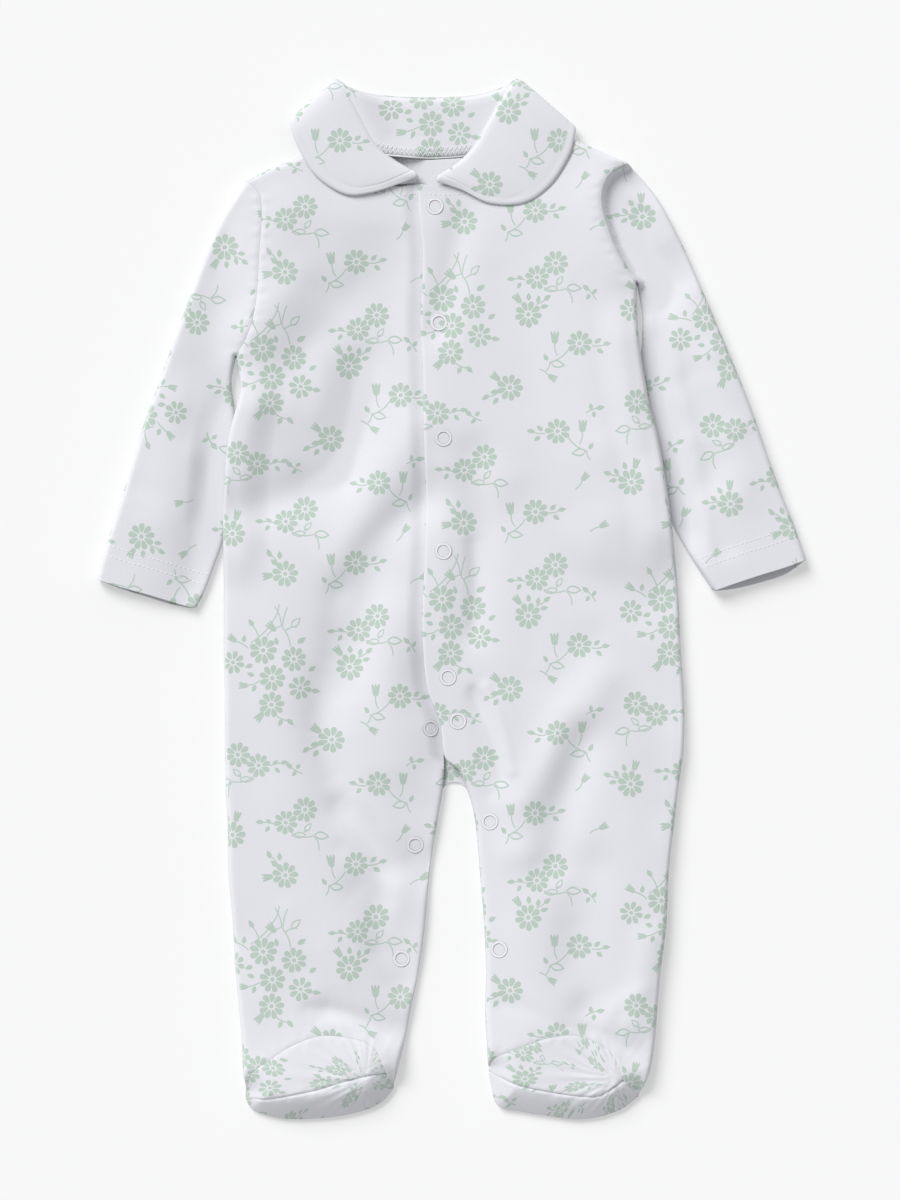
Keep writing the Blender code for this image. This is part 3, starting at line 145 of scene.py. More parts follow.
# %% Sections of the body and of the shoulders
MM = 0.001
SIDES = ("right", "left")
BODY_COLUMNS = ("y", "right_side", "right_edge", "left_edge", "left_side")
BODY_SECTIONS = (
    ("foot corner", -272, -113, -32, 24, 102.5),
    ("heel", -267, -113, -32, 22.5, 105.5),
    ("instep", -259, -114.5, -29.6, 20.5, 109),
    ("ankle", -245, -115, -26.2, 19.5, 111.5),
    ("above the ankle", -226, -116.5, -22.5, 18.5, 113),
    ("lower stud", -204, -118.5, -18, 19, 115),
    ("calf", -179, -120, -14.5, 18, 118),
    ("knee", -149, -122.5, -12, 15.5, 119.5),
    ("upper stud", -121.5, -123, -7.5, 13, 122.5),
    ("thigh", -105, -124, -4.8, 8.8, 124.5),
    ("crotch", -94, -124, -4, 3.8, 126),
    ("crotch corner", -91, -124.1, -4, 1.4, 126.4),
    ("end of the strip", -88, -124.2, -4, -2.6, 126.9),
    ("seat", -83, -124.5, -3.8, -4.4, 127.5),
    ("crotch studs", -66.5, -124.5, 0.5, -6.5, 128),
    ("hip", -50, -124.5, 2.5, -13, 127.5),
    ("high hip", -28, -125, 3.5, -15.5, 126),
    ("belly", -6, -125, 3.5, -16, 125),
    ("waist", 16, -125, 3.5, -15, 123.5),
    ("above the waist", 54.5, -125, 3.5, -14, 119),
    ("ribs", 87.5, -122.5, 3.5, -15, 113.5),
    ("low chest", 107, -117.5, 3.5, -15.5, 108.5),
    ("chest", 118, -116, 3.5, -15.5, 106.5),
    ("right underarm", 133, -118.5, 3.5, -16, 104),
    ("high chest", 153.5, None, 3.5, -17, 102),
    ("left underarm", 173, None, 3.5, -16, 102),
    ("yoke", 192, None, 3.5, -16, None),
    ("collar bone", 211.5, None, 3.5, -18, None),
    ("neck", 227.5, None, 3.5, -18.5, None),
)
ARMHOLE_COLUMNS = ("right_x", "right_y", "left_x", "left_y")
ARMHOLE_SECTIONS = (
    ("underarm", -118.5, 133, 102, 173),
    ("underarm curve", -113, 142, 95, 180),
    ("low", -109, 152.5, 88.5, 192),
    ("middle", -106.5, 167.5, 84, 204.5),
    ("upper", -105.5, 186.5, 81.5, 214),
    ("high", -104, 207.5, 81.5, 223.5),
    ("under the tip", -104.5, 219.5, 84.5, 231.5),
    ("near the tip", -107.7, 225.6, 90.5, 237),
    ("tip", -113.3, 229.4, 97, 239.5),
)
SHOULDER_COLUMNS = ("right_x", "right_y", "left_x", "left_y")
SHOULDER_SECTIONS = (
    ("tip", -113.3, 229.4, 97, 239.5),
    ("outer", -99.8, 236.2, 80.5, 246.5),
    ("inner", -84.4, 241.9, 63.5, 254),
    ("neck", -66.3, 252.6, 46.5, 261.9),
)

# %% Sections of the sleeves, cuffs and feet
SLEEVE_COLUMNS = ("right_outer_x", "right_outer_y", "right_inner_x", "right_inner_y",
                  "left_outer_x", "left_outer_y", "left_inner_x", "left_inner_y")
SLEEVE_SECTIONS = (
    ("armhole", -113.3, 229.4, -118.5, 133, 97, 239.5, 102, 173),
    ("cap", -126.4, 208, -120.8, 118.5, 112.5, 221, 104.8, 155),
    ("upper arm", -135.5, 187.5, -119.2, 104.5, 125.5, 197.5, 104.2, 137),
    ("biceps", -144, 165.5, -118.5, 87.5, 134, 178.5, 101.5, 118),
    ("above the elbow", -152, 143.5, -120, 70, 143.5, 156.5, 103, 98.5),
    ("elbow", -161, 118, -121.5, 52, 153, 134, 107, 81),
    ("below the elbow", -170, 93, -124.5, 35, 164.5, 105.5, 112, 60),
    ("forearm", -179, 62.5, -130.5, 17.5, 177, 69.5, 120.5, 42.5),
    ("wrist", -188.8, 32, -135, 5.5, 188.8, 39, 131.5, 23),
    ("cuff", -194.8, 11, -140, -4.4, 194.8, 21.8, 143.3, 4.8),
)
CUFF_COLUMNS = ("share", "right_bow", "left_bow", "right_drop", "left_drop")
CUFF_SECTIONS = (
    ("outer fold", 0, 0, 0, 0, 0),
    ("outer quarter", 0.25, 0.5, 0.4, 0.9, 3.6),
    ("middle", 0.5, 0.4, 0.1, 1.4, 4),
    ("inner quarter", 0.75, 0.7, 0.1, 1.4, 3),
    ("near the inner fold", 0.93, 0.8, 0.3, 0.5, 0.9),
    ("inner fold", 1, 0, 0, 0, 0),
)
FOOT_COLUMNS = ("x", "arc_y", "toe_seam_y", "end_y")
RIGHT_FOOT_SECTIONS = (
    ("outer corner", -113, -270.5, -273, -274),
    ("outer side", -109.5, -259.5, -273.3, -280),
    ("outer quarter", -101, -253, -273.5, -283.3),
    ("outer ball", -89, -245, -271.3, -285.3),
    ("middle", -73.5, -239, -268, -285),
    ("inner ball", -58.5, -239.5, -263.5, -283.2),
    ("inner quarter", -46, -243, -260.5, -280),
    ("inner side", -40, -249, -259.7, -277),
    ("instep end", -36, -259.5, -259.5, -273.8),
    ("inner corner", -31.6, -266.5, -266.5, -268.2),
)
LEFT_FOOT_SECTIONS = (
    ("inner corner", 20.5, -256.5, -259, -260.5),
    ("inner side", 25, -250.5, -261, -277.5),
    ("inner quarter", 37.5, -245, -266, -281),
    ("inner ball", 53, -239.8, -269.3, -283.5),
    ("middle", 68, -238.5, -271.5, -285.5),
    ("outer ball", 80, -243, -271.8, -284.3),
    ("outer quarter", 88, -249, -267.5, -282),
    ("instep end", 94, -263.2, -263.2, -279.5),
    ("outer corner", 102.5, -272, -272, -273),
)

# %% Sections of the collar
COLLAR_COLUMNS = ("turn", "seam_x", "seam_y", "roll_x", "roll_y", "edge_x", "edge_y")
COLLAR_SECTIONS = (
    ("right front end", 90, -19, 227.6, -19.3, 234.2, -18, 231.2),
    ("right front", 90, -28.5, 226.3, -26, 237.8, -29, 227.3),
    ("right breast", 90, -39.5, 228.3, -32.7, 242.3, -44.3, 222.5),
    ("right leaf low", 90, -49.8, 232, -39.9, 248.9, -58.5, 221.9),
    ("right leaf", 90, -58, 239, -46, 259.3, -74, 231.8),
    ("right leaf high", 85, -62.4, 247, -52, 270.9, -83.9, 247.2),
    ("right shoulder front", 60, -64.5, 253.8, -57.8, 281.3, -87.5, 256.5),
    ("right peak", 0, -65.5, 259.3, -63, 285.6, -88.3, 262.6),
    ("right shoulder back", -75, -61.3, 255.5, -56.5, 281.8, -84, 256),
    ("right nape", -90, -52.5, 247.4, -45.9, 278.3, -66.8, 244.5),
    ("right of centre", -90, -36.6, 242.4, -31.1, 276.5, -42.1, 242),
    ("centre back", -90, -11.3, 241.2, -11.3, 275.9, -11.3, 241.2),
    ("left of centre", -90, 14.6, 243.4, 10.2, 276.9, 20.1, 242),
    ("left nape", -90, 31.1, 249.2, 24.5, 280.3, 44.8, 245.5),
    ("left shoulder back", -75, 39.9, 257.3, 31.8, 283.4, 62.5, 253),
    ("left peak", 0, 43.9, 263.2, 36, 285.6, 67.9, 258.5),
    ("left shoulder front", 60, 42.6, 256, 32.3, 283.2, 67.2, 252.5),
    ("left leaf high", 85, 39.3, 246.1, 25.6, 272.8, 64.5, 242.8),
    ("left leaf", 90, 33.3, 237.3, 18.4, 260.4, 54.4, 226.9),
    ("left leaf low", 90, 23.9, 231.3, 12.9, 250, 39.9, 217),
    ("left breast", 90, 13.5, 228, 6.3, 241.9, 21.2, 216.8),
    ("left front", 90, 2, 226.9, -0.8, 236.4, 5.2, 224.3),
    ("left front end", 90, -7.6, 226.9, -7.7, 232.2, -8.6, 228.9),
)

# %% Smooth lines through the sections
CURVE_STEPS = 6


def paired(columns, rows, across, up):
    i = columns.index(across) + 1
    j = columns.index(up) + 1
    return np.array([(row[i], row[j]) for row in rows if row[i] is not None], dtype=float)


def smooth_line(points, steps=CURVE_STEPS):
    points = np.asarray(points, dtype=float)
    before = np.vstack([2 * points[0] - points[1], points])
    padded = np.vstack([before, 2 * points[-1] - points[-2]])
    spans = []
    for i in range(len(points) - 1):
        p0, p1, p2, p3 = padded[i:i + 4]
        t = np.linspace(0.0, 1.0, steps, endpoint=False)[:, None]
        spans.append(0.5 * (2 * p1 + (p2 - p0) * t + (2 * p0 - 5 * p1 + 4 * p2 - p3) * t ** 2
                            + (3 * p1 - p0 - 3 * p2 + p3) * t ** 3))
    return np.vstack(spans + [points[-1:]])


def run_of(line):
    steps = np.linalg.norm(np.diff(line, axis=0), axis=1)
    return np.concatenate([[0.0], np.cumsum(steps)])


def along(line, share):
    run = run_of(line)
    return np.stack([np.interp(share, run / run[-1], line[:, k]) for k in range(line.shape[1])],
                    axis=-1)


def evenly(line, step):
    count = max(2, int(round(run_of(line)[-1] / step)) + 1)
    return along(line, np.linspace(0.0, 1.0, count))


def at_heights(line, y):
    return np.column_stack([np.interp(y, line[:, 1], line[:, 0]), y])


def below(line, y):
    return np.vstack([line[line[:, 1] < y], at_heights(line, np.array([y]))])


def above(line, y):
    return np.vstack([at_heights(line, np.array([y])), line[line[:, 1] > y]])


def smoothstep(t):
    t = np.clip(t, 0.0, 1.0)
    return t * t * (3 - 2 * t)


def drawn(columns, rows, names=SIDES):
    return {name: smooth_line(paired(columns, rows, name + "_x", name + "_y")) for name in names}


BODY = {name: smooth_line(paired(BODY_COLUMNS, BODY_SECTIONS, name, "y"))
        for name in BODY_COLUMNS[1:]}
FEET = {"right": RIGHT_FOOT_SECTIONS, "left": LEFT_FOOT_SECTIONS}
INSTEP_END = {side: [row[0] for row in FEET[side]].index("instep end") for side in SIDES}
ARMHOLES = drawn(ARMHOLE_COLUMNS, ARMHOLE_SECTIONS)
SHOULDERS = drawn(SHOULDER_COLUMNS, SHOULDER_SECTIONS)
SLEEVES = drawn(SLEEVE_COLUMNS, SLEEVE_SECTIONS,
                ("right_outer", "right_inner", "left_outer", "left_inner"))
COLLAR_SEAM = paired(COLLAR_COLUMNS, COLLAR_SECTIONS, "seam_x", "seam_y")
COLLAR_NAMES = [row[0] for row in COLLAR_SECTIONS]
CROTCH_Y = -100.5
CROTCH_DROP = 3.2       # the back's leg edges end this far below the crotch
BACK_CROTCH = (1.4, -100.5)
BACK_CROTCH_BEND = (0.5, 0.85)          # where its rounded corner bends, across and up
NECK_ENDS = {"right": [(-6.0, 226.2), (3.5, 227.5)], "left": [(-18.5, 227.5)]}
FRONT_SPLIT_Y = -94.0   # below this the fronts roll over at the inner legs
BACK_SPLIT_Y = -109.0   # and the back below this
print("front edge, mm long:", round(run_of(BODY["left_edge"])[-1]))

# %% [markdown]
# ## Where the seams of neck, legs and feet run
#
# Some edges are made of several of those curves: the neck seam of a front starts at the shoulder
# and follows the collar, and the leg of the back has a blunt corner at the crotch. Small functions
# put them together, so that a piece can ask for its own outline by name.

# %% Neck, legs and feet


def neckline(side):
    if side == "right":
        points = COLLAR_SEAM[:COLLAR_NAMES.index("right leaf high") + 1][::-1]
    else:
        points = COLLAR_SEAM[COLLAR_NAMES.index("left leaf high"):]
    return smooth_line(np.vstack([SHOULDERS[side][-1:], points, NECK_ENDS[side]]))


def nape(side):
    centre = COLLAR_NAMES.index("centre back")
    if side == "right":
        points = COLLAR_SEAM[COLLAR_NAMES.index("right nape"):centre + 1]
    else:
        points = COLLAR_SEAM[centre:COLLAR_NAMES.index("left nape") + 1][::-1]
    return smooth_line(np.vstack([SHOULDERS[side][-1:], points]))


def foot_line(side, column, first=0, last=None):
    return smooth_line(paired(FOOT_COLUMNS, FEET[side], "x", column)[first:last])


def foot_corner(side, of):
    at_start = (side == "right") == (of == "side")
    return foot_line(side, "arc_y")[0 if at_start else -1]


def foot_outline(side):
    order = ("side", "edge") if side == "right" else ("edge", "side")
    corners = [foot_corner(side, of) for of in order]
    return np.vstack([corners[:1], foot_line(side, "end_y"), corners[1:]])


def leg_side(side):
    return above(BODY[side + "_side"], foot_corner(side, "side")[1])


def front_edge(side):
    return above(BODY[side + "_edge"], foot_corner(side, "edge")[1])


def back_leg_edge(side):
    leg = above(below(BODY[side + "_edge"], CROTCH_Y - CROTCH_DROP), foot_corner(side, "edge")[1])
    blunt = leg[-1] + (BACK_CROTCH - leg[-1]) * BACK_CROTCH_BEND
    return np.vstack([leg, smooth_line([leg[-1], blunt, BACK_CROTCH])[1:]])


OUTER_ROLLS = [line for side in SIDES for line in (
    leg_side(side), SHOULDERS[side], SLEEVES[side + "_outer"], foot_outline(side))]
FRONT_ROLLS = OUTER_ROLLS + [below(front_edge(side), FRONT_SPLIT_Y) for side in SIDES]
BACK_ROLLS = OUTER_ROLLS + [below(front_edge(side), BACK_SPLIT_Y) for side in SIDES]
SLEEVE_ROLLS = {side: [SLEEVES[side + "_outer"], SLEEVES[side + "_inner"], SHOULDERS[side]]
                for side in SIDES}
TOE_SEAMS = {side: foot_line(side, "toe_seam_y", 0, INSTEP_END[side] + 1) for side in SIDES}
print("lines where cloth rolls over:", len(FRONT_ROLLS))

# %% [markdown]
# ## How high the cloth lies
#
# Laid flat, the suit is two layers of interlock with a little air between them. So its upper side
# is a height field: a plain loft that rolls down to the seams, long soft folds, the puffed feet,
# and places that something under the cloth holds up. A cloth simulation could drop the layers on
# the table, but then each fold would land where it likes. Worked out from tables, each fold stays
# where it was put and the pieces still meet at their seams.

# %% Folds and lifts
CLOTH = 1.15            # thickness of one layer of interlock, mm
LOFT = 8.0              # how high the upper layer lies where nothing else lifts it
LEAST_HEIGHT = 2.95     # the deepest fold stops here,
LEAST_ROUND = 0.3       # and flattens out this softly
SEAM_RISE = 3.0         # the two layers meet at this height,
SEAM_GAP = 0.1          # this far apart
EDGE_ROLL = 2.6         # width of the rounded edge of the upper pieces
BACK_ROLL = 2.85
OVERLAP_STEP = 1.9      # how far the right front steps down under the left one,
OVERLAP_RAMP = 9.0      # starting this far outside its edge,
OVERLAP_LEVEL = 0.8     # and level from here on
SLEEVE_LIFT = 4.1       # how far a tucked sleeve lifts the body
SLEEVE_TUCK = 3.7       # height of the sleeve there
TUCK_REACH = 21.0       # the sleeve is itself again this far outside the body's side,
TUCK_RISE = 13.0        # after rising over this width
LIFT_FULL = 8.0         # the body is fully lifted this far inside its side,
LIFT_FADE = 18.0        # and lies down again over this width
LIFT_SPANS = {          # y where the lift starts, is full, starts to fade and ends
    "right": (2.0, 32.0, 104.0, 133.0),
    "left": (10.0, 40.0, 140.0, 173.0),
}
NECK_CENTRE = (-10.0, 266.0)
NECK_RADII = (80.0, 40.0)
NECK_REACH = 1.62       # in radii; the neck's lift fades out here,
NECK_FADE = 0.55        # over this
NECK_LIFT = 2.2
NECK_PRESS = 3.5        # the upper layer lies flatter under the collar
FOOT_HEIGHTS = {"right": 14.2, "left": 11.8}
FOOT_REACH = 27.0       # half width of the puff on each side of the toe seam
FOOT_ROLL = 15.0        # width of the sole's slope at the end of the foot
FOOT_END = 13.0         # the puff starts this far from each end of the toe seam
FOLD_COLUMNS = ("start_x", "start_y", "middle_x", "middle_y", "end_x", "end_y",
                "half_width", "height")
FOLDS = (
    ("right chest hollow", -36, 184, -45, 120, -68, 63, 21, -4),
    ("right chest ridge", -94, 206, -98, 168, -105, 108, 20, 2.6),
    ("right waist hollow", -83, 59, -100, 55, -116, 52, 12, -1.4),
    ("right rib ridge", -20, 93, -40, 55, -59, 22, 14, 1.8),
    ("right belly hollow", -13, 57, -37, 33, -55, -20, 14, -3.2),
    ("right hip hollow", -59, -39, -71, -72, -61, -105, 14, -3),
    ("right hip ridge", -83, 22, -92, -28, -89, -77, 20, 1.6),
    ("right groin ridge", -28, -11, -37, -55, -34, -88, 15, 1.8),
    ("right thigh hollow", -56, -117, -39, -138, -16, -148, 12, -2.8),
    ("right thigh ridge", -89, -110, -78, -149, -59, -179, 18, 1.8),
    ("right shin hollow", -49, -160, -34, -179, -28, -207, 11, -2.6),
    ("right ankle hollow", -67, -226, -48, -232, -28, -236, 9, -2.4),
    ("right ankle ridge", -105, -193, -100, -220, -83, -242, 14, 1.2),
    ("placket hollow", 4, 206, 0, 182, -8, 148, 9, -2.4),
    ("left chest ridge", 66, 176, 76, 148, 82, 93, 20, 1.4),
    ("left armpit hollow", 98, 165, 106, 121, 109, 82, 10, -1.2),
    ("left waist hollow", 13, 79, 15, 33, 10, -17, 11, -2.4),
    ("placket ridge", -6, 71, -4, 27, -3, -22, 10, 1),
    ("left belly ridge", 87, 77, 93, 52, 82, 30, 16, 1.6),
    ("left flank hollow", 38, 46, 65, 16, 104, 0, 18, -2.8),
    ("left hip hollow", 82, -22, 109, -55, 120, -110, 16, -1.6),
    ("left groin ridge", 82, -44, 55, -91, 40, -138, 13, 2.6),
    ("left thigh hollow", 71, -80, 61, -113, 54, -143, 12, -2.8),
    ("left seat ridge", 27, -55, 34, -80, 38, -108, 8, 1),
    ("left seat hollow", 12, -55, 18, -80, 22, -105, 5, -0.8),
    ("left knee hollow", 76, -149, 71, -182, 76, -215, 14, -2),
    ("left calf ridge", 49, -165, 43, -198, 49, -231, 18, 1.6),
    ("left shin ridge", 108, -187, 104, -212, 99, -231, 8, 1.4),
    ("left ankle hollow", 73, -226, 87, -240, 98, -248, 9, -2),
    ("right sleeve hollow", -122, 206, -127, 153, -131, 99, 13, -2.4),
    ("right elbow ridge", -152, 106, -153, 82, -156, 46, 14, 1.4),
    ("right wrist hollow", -138, 41, -141, 22, -142, 8, 9, -1.3),
    ("left sleeve hollow", 104, 210, 124, 140, 142, 74, 14, -3.4),
    ("left elbow ridge", 142, 128, 152, 96, 160, 63, 12, 1.6),
    ("left forearm hollow", 136, 60, 142, 45, 148, 30, 9, -1.4),
)

# %% Creases that are finer than the folds
# Each runs from one end to the other and bows aside by its bend; a height below 0 is a trough.
CREASE_COLUMNS = ("x0", "y0", "x1", "y1", "bend", "half_width", "height")
CREASES = (
    ("right armpit, rise", -84, 178, -114, 146, 2, 12, 1.7),
    ("right armpit, hollow", -62, 160, -101, 120, 3, 13, -2.2),
    ("right chest, dip", -87, 180, -55, 174, -3, 12, -1.3),
    ("right armpit, lower rise", -72, 134, -73, 104, 2, 7, 0.6),
    ("right ribs, hollow", -50, 128, -60, 70, 4, 9, -1.9),
    ("right waist, hollow", -58, 67, -110, 47, -3, 11, -1),
    ("right waist, rise", -20, 90, -104, 33, 4, 11, 0.3),
    ("right chest to placket", -60, 176, -22, 190, 5, 9, 0.5),
    ("right belly, hollow", -18, 52, -62, 4, -6, 8, -0.8),
    ("right belly, low", -62, 4, -66, -30, -2, 7, -0.7),
    ("right waist, side", -120, 30, -92, 18, 3, 7, -0.5),
    ("right seat", -72, -44, -66, -96, -4, 8, -1.1),
    ("right groin, rise", -56, -60, -50, -108, 3, 9, 0.8),
    ("right thigh, fan", -62, -114, -40, -146, 3, 6, -1),
    ("right thigh, fan rise", -50, -108, -28, -138, 3, 6, 0.7),
    ("right knee", -60, -136, -34, -164, 5, 5, -0.5),
    ("right shin, hollow", -36, -150, -40, -192, -4, 7, -1),
    ("right shin, rise", -28, -158, -30, -206, -3, 7, 0.5),
    ("right calf", -116, -186, -84, -204, 4, 9, -0.7),
    ("right shin, low", -90, -172, -58, -206, -4, 7, 0.5),
    ("right ankle, upper", -78, -224, -38, -240, 5, 4, -0.9),
    ("right ankle, lower", -70, -232, -36, -248, 5, 3, 0.6),
    ("right leg, inner fall", -6, -124, -22, -232, 0, 30, -2.6),
    ("left chest, broad rise", 100, 196, 104, 50, 0, 50, 2.4),
    ("left chest, long", 26, 176, 44, 110, 5, 10, -0.4),
    ("left waist", 34, 64, 62, 36, -4, 9, 0.4),
    ("left belly, hollow", 60, 44, 84, 30, -3, 9, -0.5),
    ("left placket, hollow", 12, 30, 13, -14, 1, 4.5, -0.8),
    ("left placket, rise", 6, 34, 6, -18, 1, 4, 0.5),
    ("left side, low", 120, 20, 122, -60, -2, 12, -0.8),
    ("left belly", 30, 12, 46, -30, 5, 8, -0.3),
    ("left groin, valley", 12, -50, 27, -98, 2, 3, -1.1),
    ("left groin, ridge", 19, -48, 33, -94, 2, 3.2, 0.9),
    ("left groin fan, upper", 16, -58, 58, -44, 6, 8, -0.4),
    ("left groin, hollow", 74, -72, 42, -128, 4, 9, -1),
    ("left groin, rise", 60, -62, 34, -112, 4, 8, 0.7),
    ("left leg, broad rise", 94, -90, 84, -220, 0, 48, 2.2),
    ("left knee", 34, -150, 62, -166, -4, 7, -0.3),
    ("left shin", 66, -180, 60, -206, 3, 8, -0.5),
    ("left ankle, inner", 28, -222, 56, -232, 3, 4.5, -0.5),
    ("left ankle, outer", 104, -214, 84, -232, -3, 5, 0.6),
    ("left ankle, fan", 62, -234, 96, -246, 3, 3.5, -0.6),
    ("right cap", -116, 208, -124, 170, 3, 7, 0.5),
    ("right upper arm", -142, 158, -122, 140, 3, 6, -0.4),
    ("right elbow, upper", -146, 124, -142, 90, 4, 10, -0.7),
    ("right elbow, lower", -158, 96, -132, 74, -4, 6, 0.4),
    ("right forearm, fall", -128, 44, -146, -4, 0, 17, -3.2),
    ("right forearm, crease", -172, 62, -148, 42, 4, 6, -0.4),
    ("left cap, hollow", 120, 214, 128, 176, 3, 8, -0.8),
    ("left upper arm", 112, 150, 132, 170, -3, 6, 0.5),
    ("left elbow, upper", 126, 118, 148, 128, 4, 6, -0.5),
    ("left elbow, lower", 132, 88, 160, 96, -4, 6, 0.5),
    ("left forearm", 136, 58, 166, 60, 4, 6, -0.4),
)
CHUNK = 4000            # points at a time, so that the distances fit in the memory


def distance(points, lines):
    starts = np.vstack([line[:-1] for line in lines])
    runs = np.vstack([np.diff(line, axis=0) for line in lines])
    square = (runs ** 2).sum(-1)
    gaps = []
    for first in range(0, len(points), CHUNK):
        to_start = points[first:first + CHUNK, None, :] - starts[None]
        share = np.clip((to_start * runs).sum(-1) / square, 0.0, 1.0)
        away = to_start - share[..., None] * runs
        gaps.append(np.sqrt((away ** 2).sum(-1).min(axis=1)))
    return np.concatenate(gaps)


def inside_side(points, side):
    x = np.interp(points[..., 1], BODY[side + "_side"][:, 1], BODY[side + "_side"][:, 0])
    return points[..., 0] - x if side == "right" else x - points[..., 0]


def beside_sleeve(points, side):
    low, low_full, high_full, high = LIFT_SPANS[side]
    y = points[..., 1]
    return smoothstep((y - low) / (low_full - low)) * smoothstep((high - y) / (high - high_full))


def near_neck(points):
    reach = np.linalg.norm((points[..., :2] - NECK_CENTRE) / NECK_RADII, axis=-1)
    return smoothstep((NECK_REACH - reach) / NECK_FADE)


def neck_lift(points):
    return NECK_LIFT * near_neck(points)


def body_lift(points):
    lift = neck_lift(points)
    for side in SIDES:
        edge = smoothstep((LIFT_FULL + LIFT_FADE - inside_side(points, side)) / LIFT_FADE)
        lift = lift + SLEEVE_LIFT * edge * beside_sleeve(points, side)
    return lift


def bowed(x0, y0, x1, y1, bend):
    start, end = np.array([x0, y0]), np.array([x1, y1])
    across = np.array([start[1] - end[1], end[0] - start[0]]) / np.linalg.norm(end - start)
    return smooth_line([start, (start + end) / 2 + bend * across, end], 4)


def soft(gap, half_width):
    return np.exp(-(gap / half_width) ** 2)


def folds(points):
    total = np.zeros(len(points))
    for _, *line, half_width, height in FOLDS:
        gap = distance(points, [smooth_line(np.reshape(line, (3, 2)))])
        total += height * soft(gap, half_width)
    for _, *line, half_width, height in CREASES:
        total += height * soft(distance(points, [bowed(*line)]), half_width)
    return total


def foot_puff(points):
    total = np.zeros(len(points))
    for side in SIDES:
        seam = TOE_SEAMS[side]
        end = FOOT_END / run_of(seam)[-1]
        gap = distance(points, [along(seam, np.linspace(end, 1.0 - end, 12))])
        total += (FOOT_HEIGHTS[side] - LOFT) * soft(gap, FOOT_REACH)
    return total


print("folds:", len(FOLDS), "and creases:", len(CREASES))

# %% [markdown]
# ## Seams that draw the cloth in
#
# A sewn seam is stiffer and a little shorter than the cloth beside it. It sinks by a fraction of a
# millimetre, and the cloth next to it ripples. A dip along each seam line and a few uneven ripples
# beside it say "sewn" more clearly than a drawn line, which would stay flat in side light.

# %% Dips and ripples along the seams
SEAM_COLUMNS = ("depth", "half_width", "ripple")
SEAM_DIPS = {
    "armhole": (0.5, 1.2, 0.12),
    "arc": (0.3, 1.0, 0.08),
    "toe": (0.8, 0.6, 0.14),
    "side": (0.35, 0.8, 0.0),
}
RIPPLE_COLUMNS = ("length", "height", "start")
RIPPLES = ((6.1, 1.0, 0.0), (9.7, 0.8, 1.3), (14.3, 0.7, 2.1))


def ripples(run):
    return sum(height * np.sin(math.tau * run / length + start)
               for length, height, start in RIPPLES)


def seam_dip(points, line, kind):
    depth, half_width, ripple = SEAM_DIPS[kind]
    gap = distance(points, [line])
    toward = line[-1] - line[0]
    run = (points - line[0]) @ (toward / np.linalg.norm(toward))
    beside = soft(gap - 2.5 * half_width, 2.0 * half_width)
    return ripple * ripples(run) * beside - depth * soft(gap, half_width)


SIDE_SEAM_INSET = 3.4
SIDE_SEAM_TOP = -18.0
SIDE_SEAM_FOOT = -222.0


def side_seam():
    side = below(BODY["left_side"], SIDE_SEAM_TOP)
    return above(side, SIDE_SEAM_FOOT) - (SIDE_SEAM_INSET, 0.0)


STEP_DEPTH = 7.0        # the left sleeve starts this far below the body's rounded edge,
STEP_WIDTH = 5.0        # goes down to there over this width,
STEP_REACH = 34.0       # and is back at its own height this much farther out
BODY_RISE = 1.8         # the body stands up by this beside it,
BODY_REACH = 13.0       # over this width


def armhole_step(points):
    line = ARMHOLES["left"]
    away = points[:, 0] - np.interp(points[:, 1], line[:, 1], line[:, 0])
    gap = distance(points, [line]) * np.where(away > 0.0, 1.0, -1.0)
    down = smoothstep(gap / STEP_WIDTH) * (1.0 - smoothstep((gap - STEP_WIDTH) / STEP_REACH))
    rise = soft(gap, BODY_REACH) * (1.0 - smoothstep(gap / STEP_WIDTH))
    return BODY_RISE * rise - STEP_DEPTH * down


GATHER_FOCUS = {"right": (-46.0, -262.0), "left": (90.0, -262.0)}
GATHER_COUNT = 30       # small pleats for each radian round the focus
GATHER_HEIGHT = 0.32
GATHER_CLEAR = 8.0      # they start this far from the focus,
GATHER_REACH = 28.0     # die away over this,
GATHER_PAST_SEAM = 0.3  # and go on past the instep's arc at this share of their height,
GATHER_FADE = 5.0       # which they reach over this
GATHER_SECOND = (0.6, 0.61, 0.8)        # height, count and start of a second wave among them


def foot_gathers(points):
    total = np.zeros(len(points))
    for side, focus in GATHER_FOCUS.items():
        away = points - focus
        reach = np.hypot(away[:, 0], away[:, 1])
        turn = np.arctan2(away[:, 1], -away[:, 0])
        share, count, start = GATHER_SECOND
        wave = np.sin(GATHER_COUNT * turn) + share * np.sin(count * GATHER_COUNT * turn + start)
        near = smoothstep(reach / GATHER_CLEAR) * soft(reach, GATHER_REACH)
        arc = foot_line(side, "arc_y")
        past = points[:, 1] - np.interp(points[:, 0], arc[:, 0], arc[:, 1])
        near = near * (1.0 - (1.0 - GATHER_PAST_SEAM) * smoothstep(past / GATHER_FADE))
        total += GATHER_HEIGHT * wave * near
    return total


def plain_height(points):
    height = LOFT + folds(points) + foot_puff(points) - NECK_PRESS * near_neck(points)
    height += armhole_step(points)
    above_least = height - LEAST_HEIGHT
    height = LEAST_HEIGHT + (above_least + np.sqrt(above_least ** 2 + LEAST_ROUND)) / 2
    for side in SIDES:
        height += seam_dip(points, ARMHOLES[side], "armhole")
        height += seam_dip(points, foot_line(side, "arc_y", 0, INSTEP_END[side] + 1), "arc")
        height += seam_dip(points, TOE_SEAMS[side], "toe")
    return height + seam_dip(points, side_seam(), "side") + foot_gathers(points)


def under_overlap(points):
    edge = np.interp(points[..., 1], BODY["left_edge"][:, 1], BODY["left_edge"][:, 0])
    return smoothstep((points[..., 0] - edge + OVERLAP_RAMP) / (OVERLAP_RAMP - OVERLAP_LEVEL))


